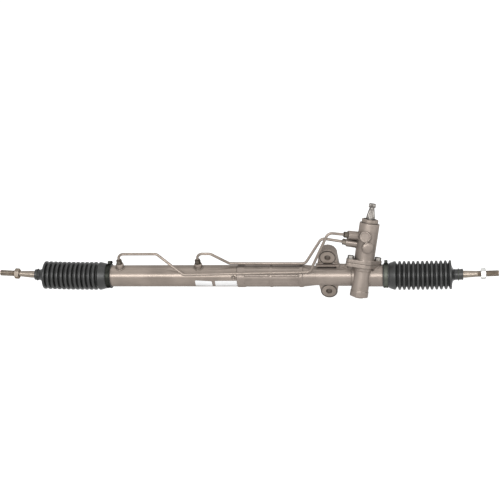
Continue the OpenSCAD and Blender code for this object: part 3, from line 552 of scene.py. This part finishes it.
class SteeringRackColours(bpy.types.PropertyGroup):
    """Colours of the finishes."""

    casting: bpy.props.FloatVectorProperty(
        name="Casting paint",
        description="Paint of the cast housings",
        default=(0.25, 0.212, 0.185),
        subtype="COLOR",
    )
    tube: bpy.props.FloatVectorProperty(
        name="Tube paint",
        description="Paint of the cylinder tube and the pipes",
        default=(0.255, 0.215, 0.185),
        subtype="COLOR",
    )
    steel: bpy.props.FloatVectorProperty(
        name="Bare steel",
        description="Machined steel",
        default=(0.21, 0.195, 0.18),
        subtype="COLOR",
    )
    dark: bpy.props.FloatVectorProperty(
        name="Dark steel",
        description="Coated clamps and sockets",
        default=(0.1, 0.105, 0.09),
        subtype="COLOR",
    )
    zinc: bpy.props.FloatVectorProperty(
        name="Zinc plate",
        description="Flange bolts and small parts",
        default=(0.27, 0.255, 0.235),
        subtype="COLOR",
    )
    white_zinc: bpy.props.FloatVectorProperty(
        name="White zinc",
        description="The bright right jam nut",
        default=(0.66, 0.66, 0.64),
        subtype="COLOR",
    )
    toned: bpy.props.FloatVectorProperty(
        name="Toned plate",
        description="Tie rods, the left jam nut and the pipe nuts",
        default=(0.28, 0.24, 0.2),
        subtype="COLOR",
    )
    rubber: bpy.props.FloatVectorProperty(
        name="Rubber",
        description="Both bellows",
        default=(0.01, 0.0103, 0.0098),
        subtype="COLOR",
    )
    plastic: bpy.props.FloatVectorProperty(
        name="Bearing plastic",
        description="Seal rings and ball seats",
        default=(0.6, 0.58, 0.5),
        subtype="COLOR",
    )
    label: bpy.props.FloatVectorProperty(
        name="Label film",
        description="The two blank labels on the tube",
        default=(0.9, 0.9, 0.9),
        subtype="COLOR",
    )


class SteeringRackSizes(bpy.types.PropertyGroup):
    """Sizes of the visible detail, and the camera's place."""

    thread_pitch: bpy.props.FloatProperty(
        name="Thread pitch",
        description="Pitch of the tie-rod threads",
        default=1.5 * MM,
        unit="LENGTH",
    )
    spline_count: bpy.props.IntProperty(
        name="Splines",
        description="Serrations round the input shaft's head",
        default=36,
        min=12,
    )
    cast_round: bpy.props.IntProperty(
        name="Cast rounding",
        description="Smoothing passes over the castings' edges",
        default=2,
        min=1,
    )
    cast_voxel: bpy.props.FloatProperty(
        name="Cast detail",
        description="Size of the castings' mesh",
        default=0.9 * MM,
        unit="LENGTH",
    )
    camera_yaw: bpy.props.FloatProperty(
        name="Camera yaw",
        description="How far the camera stands towards the pinion end",
        default=math.radians(8),
        subtype="ANGLE",
    )
    camera_tilt: bpy.props.FloatProperty(
        name="Camera tilt",
        description="How far the camera looks down",
        default=math.radians(35),
        subtype="ANGLE",
    )
    camera_roll: bpy.props.FloatProperty(
        name="Camera roll",
        description="How far the camera leans to its right",
        default=math.radians(0.27),
        subtype="ANGLE",
    )
    camera_distance: bpy.props.FloatProperty(
        name="Camera distance",
        description="From the camera to the middle of the picture",
        default=2.585,
        unit="LENGTH",
    )


# Bellows, in millimetres and measured outwards from the ball centres as in the CAD

FOLDS = 13
SLIDE_START = 8  # from the cuff's end to where the folds start to slide
LIFT_FOLD, SWEEP_FOLD = 8.5, 10.5  # the valleys where the bends of the ball joint start
CREST_R, VALLEY_R, TAIL_R = 33.5, 26.25, 12.3
CUFF_WALL = 2.6
BELLOWS = {
    "right": {
        "cuff": (-103.5, -90.2, -75.7),
        "tail": (49.7, 57.4, 78.6),
        "seat_r": 25.0,
        "shoulder_r": 29.4,
    },
    "left": {
        "cuff": (-117.5, -106.5, -89.3),
        "tail": (45.1, 59.8, 72.6),
        "seat_r": 25.4,
        "shoulder_r": 29.8,
    },
}
# One fold, from its valley: share of the pitch, and radius
FOLD = (
    (-0.1, VALLEY_R),
    (0.1, VALLEY_R),
    (0.24, CREST_R - 0.8),
    (0.38, CREST_R),
    (0.62, CREST_R),
    (0.76, CREST_R - 0.8),
)


def fold_at(b, number):
    """Where a bellows' fold stands: whole numbers are crests, and halves are valleys."""
    first, last = b["cuff"][2], b["tail"][0]
    return first + number * (last - first) / (FOLDS - 1)


def bellows_outline(b):
    """(x, r) points of a bellows' outside, from its cuff to its tail."""
    cuff_start, cuff_end, first = b["cuff"]
    last, neck, tail_end = b["tail"]
    cuff_r = b["seat_r"] + CUFF_WALL
    points = [
        (cuff_start, b["seat_r"] + 0.1),
        (cuff_start, cuff_r),
        (cuff_end, cuff_r),
        (cuff_end + 0.6, cuff_r + 0.6),
        (cuff_end + 2, b["shoulder_r"]),
        (first - 1.5, CREST_R - 0.25),
        (first + 1.1, CREST_R),
    ]
    for valley in range(FOLDS - 1):
        points += [(fold_at(b, valley + 0.5 + share), r) for share, r in FOLD]
    points += [
        (last + 2.6, CREST_R - 3.5),
        (last + 3.4, 20),
        (neck, TAIL_R),
        (neck + 1, TAIL_R),
        (neck + 1.2, TAIL_R + 0.6),
        (neck + 3, TAIL_R + 0.6),
        (neck + 3.2, TAIL_R),
        (tail_end - 3.2, TAIL_R),
        (tail_end - 3, TAIL_R + 0.6),
        (tail_end, TAIL_R + 0.6),
        (tail_end, 8.1),
    ]
    return points


class STEERING_OT_bellows(bpy.types.Operator):
    """Both bellows, each in three lengths that meet at the valleys where the ball joint's bends start, bowed onto
    the tie rod.
    """

    bl_idname = "steering.bellows"
    bl_label = "Bellows"

    def execute(self, context):
        for side, b in sorted(BELLOWS.items()):
            lift, sweep = fold_at(b, LIFT_FOLD), fold_at(b, SWEEP_FOLD)
            bends = [b["cuff"][0] + SLIDE_START, lift, sweep, b["tail"][1]]
            ends = [-math.inf, lift, sweep, math.inf]
            bodies = ["housing", "rack", f"{side}_seat", f"{side}_rod"]
            for i in range(3):
                self.build(side, i + 1, bodies[i : i + 2], ends[i : i + 2], bends[i : i + 2])
        return {"FINISHED"}

    def build(self, side, number, bodies, ends, bend):
        """One length of a bellows, between two ends."""
        low, high = ends
        outline = rounded(bellows_outline(BELLOWS[side]), 3)
        points = [(x, r) for x, r in outline if low <= x <= high]
        if math.isfinite(low):
            points.insert(0, (low, VALLEY_R))
        if math.isfinite(high):
            points.append((high, VALLEY_R))
        straight = outwards(side)
        name = f"{side}_bellows_{number}"
        obj = lathe(name, in_metres(points), straight, segments=96, closed=False)
        self.bow(obj, straight, along_rod(side), BELLOWS[side])
        finish(obj, "rubber")
        start, end = (straight @ Vector((x * MM, 0, 0)) for x in bend)
        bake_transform(obj)
        if number == 1:
            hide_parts(f"{side}_bellows")

    @staticmethod
    def bow(obj, straight, tilted, b):
        """Bows the middle line in a cubic, so that the tail lies on the lifted tie rod."""
        back = straight.inverted()
        along = back.to_3x3() @ tilted.to_3x3() @ Vector((1, 0, 0))
        slope = along.z / along.x
        low, high = b["cuff"][1] * MM, b["tail"][1] * MM
        length = high - low
        for vertex in obj.data.vertices:
            local = back @ vertex.co
            t = max(0, (local.x - low) / length)
            rise, lean = slope * local.x, slope
            if t < 1:
                rise = slope * (high * (3 * t**2 - 2 * t**3) + length * (t**3 - t**2))
                lean = slope * (high / length * (6 * t - 6 * t**2) + 3 * t**2 - 2 * t)
            vertex.co = straight @ Vector((local.x - local.z * lean, local.y, local.z + rise))


# Long ribs on the front of the sleeve: each has an elevation in degrees and a width

SLEEVE_X = (-209 * MM, -61 * MM)
SLEEVE_PANEL_R = 26 * MM
SLEEVE_RIB_H = 1.5 * MM
SLEEVE_RIB_DEPTH = 4 * MM
SLEEVE_RIBS = ((49.5, 7.9 * MM), (23.4, 7 * MM))


class STEERING_OT_castings(bpy.types.Operator):
    """The two cast housings, with softened edges and the sleeve's long ribs."""

    bl_idname = "steering.castings"
    bl_label = "Castings"

    def execute(self, context):
        sizes = context.scene.steering_rack_sizes
        for node, ribs in (("rack_housing", self.sleeve_ribs()), ("valve_housing", ())):
            obj = softened(node, f"{node}_skin", sizes.cast_voxel, sizes.cast_round, ribs)
            seat(obj, "cast_paint", "housing", node)
        return {"FINISHED"}

    @staticmethod
    def sleeve_ribs():
        """The places and sizes of boxes that stand out of the sleeve's panels."""
        ribs = []
        low, high = SLEEVE_X
        middle_r = SLEEVE_PANEL_R + SLEEVE_RIB_H - SLEEVE_RIB_DEPTH / 2
        for elevation, width in SLEEVE_RIBS:
            place = Matrix.Translation(((low + high) / 2, RACK_Y, 0))
            turn = Matrix.Rotation(math.radians(90 - elevation), 4, "X")
            out = Matrix.Translation((0, 0, middle_r))
            size = Matrix.Diagonal((high - low, width, SLEEVE_RIB_DEPTH, 1))
            ribs.append(place @ turn @ out @ size)
        return ribs


# Pads: height on the tower, turn in degrees, and outline, in millimetres

PAD_REACH = 22.6
PAD_ROOT = -4
PADS = {
    "upper": (
        96,
        -12,
        [(0, 13), (2.2, 13), (3, 12.2), (3, 10.4), (2.3, 9.6), (2.2, 9.2), (2.2, 0)],
    ),
    "lower": (72, 10, [(0, 11.6), (1.6, 11.4), (2.9, 10.2), (3.6, 7.4), (3.8, 4), (3.8, 0)]),
}


class STEERING_OT_pads(bpy.types.Operator):
    """The two plain round pads on the front of the valve housing."""

    bl_idname = "steering.pads"
    bl_label = "Valve pads"

    def execute(self, context):
        pads = []
        for name, (height, turn_deg, outline) in PADS.items():
            turn = math.radians(turn_deg)
            out = tower_at(0).to_3x3() @ Vector((0, math.sin(turn), -math.cos(turn)))
            middle = TOWER_FOOT + TOWER_AXIS * height * MM + out * PAD_REACH * MM
            root = [(PAD_ROOT, 0), (PAD_ROOT, outline[0][1])]
            points = in_metres(root + rounded(outline, 2))
            pads.append(lathe(f"{name}_pad", points, frame_at(middle, out, TOWER_AXIS)))
        seat(join("valve_pads", pads), "cast_paint", "housing")
        return {"FINISHED"}


# Clamps, in millimetres

CLAMP_WIDTH = 10
CLAMP_TURN = math.radians(35)
CLAMP_STARTS = {"left": 0.7, "right": 1.8}
CLAMP_FINISHES = {"left": "black_steel", "right": "dark_steel"}
# One edge of the band: distance from the edge, and height over the cuff
CLAMP_EDGE = [(0, 0), (0, 1), (0.6, 1.4), (1.4, 1.3), (2, 0.7)]
CLAMP_BLOCK = [(-7, 0), (-7, 3.2), (-6.2, 3.8), (6.2, 3.8), (7, 3.2), (7, 0)]
SCREW_LIFT = 4.1
SCREW_SHANK = [(-8, 0), (-8, 2.4), (8.7, 2.4), (8.7, 0)]
SCREW_HEAD_AT = 8.6
SCREW_HEAD = (7 * MM, 4.4 * MM)


class STEERING_OT_clamps(bpy.types.Operator):
    """The two worm clamps: a band with rolled edges, a screw block and its screw."""

    bl_idname = "steering.clamps"
    bl_label = "Bellows clamps"

    def execute(self, context):
        screws = []
        for side in ("left", "right"):
            b = BELLOWS[side]
            start = b["cuff"][0] + CLAMP_STARTS[side]
            inner = b["seat_r"] + CUFF_WALL + 0.1
            section = [(start + x, inner + h) for x, h in CLAMP_EDGE]
            section += [
                (start + CLAMP_WIDTH - x, inner + h) for x, h in reversed(CLAMP_EDGE)
            ]
            place = outwards(side)
            band = lathe(f"{side}_clamp_band", in_metres(section), place, segments=96)
            seat(band, CLAMP_FINISHES[side], "housing", f"{side}_clamp")
            turn = Matrix.Rotation(CLAMP_TURN * -SIDE_SIGN[side], 4, "X")
            lift = Matrix.Translation(
                ((start + CLAMP_WIDTH / 2) * MM, 0, (inner + SCREW_LIFT) * MM)
            )
            across = place @ turn @ lift @ Matrix.Rotation(-math.pi / 2, 4, "Z")
            block = lathe(
                f"{side}_clamp_block",
                in_metres(CLAMP_BLOCK),
                across,
                segments=32,
                radius_at=self.squared,
            )
            seat(block, "black_steel", "housing")
            head_place = across @ Matrix.Translation((SCREW_HEAD_AT * MM, 0, 0))
            screws.append(
                nut(f"{side}_screw", head_place, *SCREW_HEAD, chamfer=(False, True))
            )
            screws.append(
                lathe(f"{side}_screw_shank", in_metres(SCREW_SHANK), across, segments=24)
            )
        seat(join("clamp_screws_detail", screws), "black_steel", "housing", "clamp_screws")
        return {"FINISHED"}

    @staticmethod
    def squared(x, r, angle):
        """Widens a round bar to a rounded square one."""
        corner = max(abs(math.sin(angle)), abs(math.cos(angle)))
        return r / corner**0.8


# Tie rods, measured outwards from the ball centres

BALL_R = 14 * MM
ROD_SHANK = [(14, 6.5), (22, 6.5), (30, 8), (82, 8), (106, 6.7), (111, 6.7), (111, 0)]
ROD_LENGTH = 159 * MM
ROD_TIP = [(-2.2, 0), (-2.2, 6.3), (0, 5.2), (0, 0)]
STUD_R = 6.9 * MM
STUD_SPAN = (110 * MM, 157.8 * MM)
THREAD_DEPTH = 0.75 * MM
JAM_NUT_AT = {"left": 117 * MM, "right": 124 * MM}
JAM_NUT_FINISHES = {"left": "toned_steel", "right": "white_zinc"}
JAM_NUT_WIDTH = 22 * MM
JAM_NUT_HEIGHT = 11 * MM


class STEERING_OT_tie_rods(bpy.types.Operator):
    """Both tie rods with their threads, and their jam nuts."""

    bl_idname = "steering.tie_rods"
    bl_label = "Tie rods"

    def execute(self, context):
        pitch = context.scene.steering_rack_sizes.thread_pitch
        angles = [math.pi * k / 24 for k in range(24, 3, -1)]
        ball = [(BALL_R * math.cos(a), BALL_R * math.sin(a)) for a in angles]
        for side in ("left", "right"):
            place = along_rod(side)
            rod_end = place @ Matrix.Translation((ROD_LENGTH, 0, 0))
            parts = [
                lathe(f"{side}_rod_shank", ball + in_metres(ROD_SHANK), place, segments=48),
                threaded(
                    f"{side}_rod_stud", place, *STUD_SPAN, STUD_R, pitch, THREAD_DEPTH
                ),
                lathe(f"{side}_rod_tip", in_metres(ROD_TIP), rod_end, segments=48),
            ]
            rod = join(f"{side}_tie_rod_detail", parts)
            seat(rod, "toned_steel", f"{side}_rod", f"{side}_tie_rod")
            nut_x = JAM_NUT_AT[side] - JAM_NUT_HEIGHT / 2
            jam = nut(
                f"{side}_jam_nut_detail",
                place @ Matrix.Translation((nut_x, 0, 0)),
                JAM_NUT_WIDTH,
                JAM_NUT_HEIGHT,
                STUD_R + 0.1 * MM,
            )
            seat(jam, JAM_NUT_FINISHES[side], f"{side}_rod", f"{side}_jam_nut")
        return {"FINISHED"}


# Input shaft: (height, radius) points in millimetres, then its splined head and fluted cone

INPUT_SHAFT = [
    (57, 0),
    (57, 10.95),
    (106, 10.95),
    (106, 8.5),
    (136.5, 8.5),
    (136.5, 9.9),
    (139, 10),
    (140, 9.9),
    (148, 8.4),
    (157, 6.7),
    (158, 6.4),
    (159, 5.7),
    (162, 5.7),
    (162.01, 7.4),
    (163, 8),
    (166.5, 8),
    (169.8, 8),
    (171, 6.95),
    (171, 0),
]
HEAD_SPAN = (162 * MM, 170 * MM)
HEAD_ROOT_R = 7 * MM
SPLINE_DEPTH = 0.55 * MM
SPLINE_STEPS = 6  # points round one spline
CONE_SPAN = (139.5 * MM, 157.5 * MM)
CONE_FLUTES = 10
FLUTE_DEPTH = 1.1 * MM


class STEERING_OT_input_shaft(bpy.types.Operator):
    """The splined input shaft."""

    bl_idname = "steering.input_shaft"
    bl_label = "Input shaft"

    def execute(self, context):
        count = context.scene.steering_rack_sizes.spline_count

        def splined(x, r, angle):
            # Flat-topped teeth round the head, and hollow flutes down the cone
            if HEAD_SPAN[0] < x < HEAD_SPAN[1] and r > HEAD_ROOT_R:
                tooth = abs((angle / TURN * count) % 1 * 2 - 1)
                return r - SPLINE_DEPTH * min(1, max(0, tooth * 1.8 - 0.4))
            if CONE_SPAN[0] < x < CONE_SPAN[1]:
                flute = 0.5 + 0.5 * math.cos(angle * CONE_FLUTES)
                return r - FLUTE_DEPTH * flute**3
            return r

        shaft = lathe(
            "input_shaft_detail",
            in_metres(INPUT_SHAFT),
            tower_at(0),
            segments=count * SPLINE_STEPS,
            radius_at=splined,
        )
        seat(shaft, "bare_steel", "input", "input_shaft")
        return {"FINISHED"}


# Flange bolts

BOLT_SEAT = 40.6 * MM
BOLT_REACH = 34 * MM
BOLT_TURN = math.radians(25)
BOLT_HEAD = (13 * MM, 7.5 * MM)
BOLT_FLANGE_R = 8 * MM
BOLT_SHANK = [(-18, 0), (-18, 3.95), (0, 3.95), (0, 0)]


class STEERING_OT_fasteners(bpy.types.Operator):
    """The two flange bolts that hold the valve housing."""

    bl_idname = "steering.fasteners"
    bl_label = "Fasteners"

    def execute(self, context):
        right = Vector((1, 0, 0)) - TOWER_AXIS * TOWER_AXIS.x
        right.normalize()
        back = TOWER_AXIS.cross(right)
        arm = right * math.cos(BOLT_TURN) + back * math.sin(BOLT_TURN)
        bolts = []
        for sign in (1, -1):
            place = tower_at(BOLT_SEAT)
            place.translation += arm * BOLT_REACH * sign
            head = nut(
                "bolt_head", place, *BOLT_HEAD, chamfer=(False, True), flange_r=BOLT_FLANGE_R
            )
            shank = lathe("bolt_shank", in_metres(BOLT_SHANK), place, segments=32)
            bolts += [head, shank]
        seat(join("flange_bolts_detail", bolts), "zinc", "housing", "valve_bolts")
        return {"FINISHED"}


# The tube, its port welds, its punched mark and its labels

TUBE_R = 25.4 * MM
PORTS = {"left": -493 * MM, "right": -304 * MM}
PORT_R = 9.6 * MM
WELD_R = 1.7 * MM
WELD_STEPS = 64
MARK_X = -219.8 * MM
MARK_TURN = math.radians(27)
MARK_RIM = [(-0.6, 0), (-0.6, 4.6), (0.6, 4.6), (1.7, 3.9), (1.6, 3.1), (0.2, 2.4), (0.05, 0)]
# Each label: its left and right ends in millimetres, and how far it slants
LABELS = ((-310.8, -271.0, -0.06), (-263.8, -208.1, 0))
LABEL_TURN = (math.radians(-32), math.radians(8))
LABEL_CORNER = 2.5 * MM
LABEL_THICK = 0.2 * MM
LABEL_ROWS = 28


class STEERING_OT_welds(bpy.types.Operator):
    """Weld beads where the ports stand on the tube."""

    bl_idname = "steering.welds"
    bl_label = "Port welds"

    def execute(self, context):
        seam_r = TUBE_R - 0.1 * MM
        for name, x in PORTS.items():
            points = []
            for k in range(WELD_STEPS):
                angle = TURN * k / WELD_STEPS
                y = PORT_R * math.sin(angle)
                z = math.sqrt(seam_r**2 - y**2)
                points.append(Vector((x + PORT_R * math.cos(angle), RACK_Y + y, z)))
            seat(bead(f"{name}_port_weld", points, WELD_R), "steel_paint", "housing")
        return {"FINISHED"}


class STEERING_OT_dimple(bpy.types.Operator):
    """The small punched mark that holds the tube in the sleeve."""

    bl_idname = "steering.dimple"
    bl_label = "Tube mark"

    def execute(self, context):
        out = Vector((0, -math.cos(MARK_TURN), math.sin(MARK_TURN)))
        middle = Vector((MARK_X, RACK_Y, 0)) + out * TUBE_R
        points = in_metres(rounded(MARK_RIM, 1))
        mark = lathe("tube_mark", points, frame_at(middle, out, (1, 0, 0)), segments=32)
        seat(mark, "steel_paint", "housing")
        return {"FINISHED"}


class STEERING_OT_labels(bpy.types.Operator):
    """Two blank white labels on the front of the tube."""

    bl_idname = "steering.labels"
    bl_label = "Labels"

    def execute(self, context):
        for number, (low, high, slant) in enumerate(LABELS, 1):
            film = self.film(f"label_{number}", low * MM, high * MM, slant)
            seat(film, "label", "housing")
        return {"FINISHED"}

    @staticmethod
    def film(name, low, high, slant):
        """A thin curved rectangle with rounded corners, lying on the tube."""
        half_arc = (LABEL_TURN[1] - LABEL_TURN[0]) / 2 * TUBE_R
        middle_turn = sum(LABEL_TURN) / 2
        section = ((low, 0), (low, LABEL_THICK), (high, LABEL_THICK), (high, 0))
        vertices, faces = [], []
        for row in range(LABEL_ROWS + 1):
            v = -half_arc * math.cos(math.pi * row / LABEL_ROWS)
            inset = max(0, abs(v) - (half_arc - LABEL_CORNER))
            cut = LABEL_CORNER - math.sqrt(max(0, LABEL_CORNER**2 - inset**2))
            for x, lift in section:
                r = TUBE_R + lift
                turn = middle_turn + (v + slant * (x - (low + high) / 2)) / TUBE_R
                along = x + cut if x == low else x - cut
                vertices.append((along, RACK_Y - r * math.cos(turn), r * math.sin(turn)))
            if row:
                for k in range(3):
                    at = 4 * (row - 1) + k
                    faces.append((at, at + 1, at + 5, at + 4))
        return tidy(mesh_object(name, vertices, faces), sharp_deg=60)


class STEERING_OT_finishes(bpy.types.Operator):
    """The finishes of the CAD nodes that still show."""

    bl_idname = "steering.finishes"
    bl_label = "CAD finishes"

    def execute(self, context):
        slots = {s["node"]: s["material_slot"] for s in frame["record"]["subparts"]}
        for node, obj in frame["nodes"].items():
            if not obj.hide_render:
                finish(obj, OVERSPRAYED.get(node, slots[node]))
        return {"FINISHED"}


# Stage: each light has a name, a place, a width and height, and a power

FLOOR_HALF = 12
FLOOR_GLOW = 0.8  # lifts the floor to white where it is seen
SKY_LIGHT = 0.3  # strength of the world as a light, where it is seen at strength 1
LIGHTS = (
    ("key", (-0.3, -2.5, 1.95), (3.2, 0.5), 92),
    ("top", (-0.2, 0.6, 2.4), (2.6, 1.6), 14),
    ("side", (2.2, -0.9, 1.0), (1.0, 1.4), 13),
)
LIGHT_AIM = Vector((-0.2, 0, 0))
LENS, SENSOR_WIDTH = 79.2, 36
# The middle of the picture, from the rack's axis, and how far it rises in the picture
PICTURE_MIDDLE = Vector((-183.5, 33.8, 48.3)) * MM
PICTURE_RISE = 1.27 * MM


class STEERING_OT_stage(bpy.types.Operator):
    """Floor, lights and the camera at the photograph's angle."""

    bl_idname = "steering.stage"
    bl_label = "Stage"

    def execute(self, context):
        self.floor(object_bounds()[0].z)
        for light in LIGHTS:
            self.light(*light)
        world = bpy.data.worlds.new("studio")
        context.scene.world = world
        sky = Nodes(world)
        shade = sky.seen() * (1 - SKY_LIGHT) + SKY_LIGHT
        back = sky.add("ShaderNodeBackground", values={"Color": (1, 1, 1), "Strength": shade})
        sky.add("ShaderNodeOutputWorld", values={"Surface": back.outputs[0]})
        self.camera(context.scene)
        context.scene.view_settings.view_transform = "Standard"
        return {"FINISHED"}

    @staticmethod
    def floor(z):
        """A plain pale floor that shows white and keeps the object's shadow."""
        corners = ((-1, -1), (1, -1), (1, 1), (-1, 1))
        floor = mesh_object(
            "floor", [(x * FLOOR_HALF, y * FLOOR_HALF, z) for x, y in corners], [(0, 1, 2, 3)]
        )
        floor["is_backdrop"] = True
        s = Surface("floor")
        s.set(
            Base_Color=(0.5, 0.5, 0.5),
            Roughness=0.9,
            Specular_IOR_Level=0.1,
            Emission_Color=s.mix(s.seen(), (0, 0, 0), (1, 1, 1)),
            Emission_Strength=FLOOR_GLOW,
        )
        floor.data.materials.append(s.material)

    @staticmethod
    def light(name, place, size, power):
        """A soft oblong light that faces the object."""
        data = bpy.data.lights.new(name, "AREA")
        data.shape = "RECTANGLE"
        data.size, data.size_y = size
        data.energy = power
        obj = bpy.data.objects.new(name, data)
        bpy.context.scene.collection.objects.link(obj)
        obj.location = place
        aim = LIGHT_AIM - Vector(place)
        obj.rotation_euler = aim.to_track_quat("-Z", "Y").to_euler()

    @staticmethod
    def camera(scene):
        """The camera at the photograph's angle."""
        sizes = scene.steering_rack_sizes
        yaw, tilt, roll = sizes.camera_yaw, sizes.camera_tilt, sizes.camera_roll
        flat, steep = math.cos(tilt), math.sin(tilt)
        to_camera = Vector((math.sin(yaw), -math.cos(yaw) * flat, math.cos(yaw) * steep))
        level = Vector((math.cos(yaw), math.sin(yaw) * flat, -math.sin(yaw) * steep))
        upright = to_camera.cross(level)
        right = level * math.cos(roll) - upright * math.sin(roll)
        up = upright * math.cos(roll) + level * math.sin(roll)
        middle = PICTURE_MIDDLE + Vector((0, RACK_Y, 0)) + upright * PICTURE_RISE
        pose = Matrix((right, up, to_camera)).transposed().to_4x4()
        pose.translation = middle + to_camera * sizes.camera_distance
        data = bpy.data.cameras.new("camera")
        data.lens = LENS
        data.sensor_width = SENSOR_WIDTH
        data.sensor_fit = "HORIZONTAL"
        camera = bpy.data.objects.new("camera", data)
        scene.collection.objects.link(camera)
        camera.matrix_world = pose
        scene.camera = camera


OPERATORS = (
    STEERING_OT_castings,
    STEERING_OT_pads,
    STEERING_OT_bellows,
    STEERING_OT_clamps,
    STEERING_OT_tie_rods,
    STEERING_OT_input_shaft,
    STEERING_OT_fasteners,
    STEERING_OT_welds,
    STEERING_OT_dimple,
    STEERING_OT_labels,
    STEERING_OT_finishes,
    STEERING_OT_stage,
)


class STEERING_PT_panel(bpy.types.Panel):
    """Lists the settings and the pieces."""

    bl_idname = "STEERING_PT_panel"
    bl_label = "Steering rack"
    bl_space_type = "VIEW_3D"
    bl_region_type = "UI"
    bl_category = "Steering rack"

    def draw(self, context):
        scene = context.scene
        for group in (scene.steering_rack_sizes, scene.steering_rack_colours):
            for key in group.__annotations__:
                self.layout.prop(group, key)
        for operator in OPERATORS:
            self.layout.operator(operator.bl_idname)


CLASSES = (SteeringRackColours, SteeringRackSizes, *OPERATORS, STEERING_PT_panel)


def register():
    """Registers the classes and puts the settings on the scene."""
    for cls in CLASSES:
        bpy.utils.register_class(cls)
    bpy.types.Scene.steering_rack_colours = bpy.props.PointerProperty(
        type=SteeringRackColours
    )
    bpy.types.Scene.steering_rack_sizes = bpy.props.PointerProperty(type=SteeringRackSizes)


def unregister():
    """Takes the classes and the settings away."""
    del bpy.types.Scene.steering_rack_sizes
    del bpy.types.Scene.steering_rack_colours
    for cls in reversed(CLASSES):
        bpy.utils.unregister_class(cls)


def main():
    """Builds every piece in order."""
    register()
    for operator in OPERATORS:
        group, name = operator.bl_idname.split(".")
        getattr(getattr(bpy.ops, group), name)()


if __name__ == "__main__":
    main()
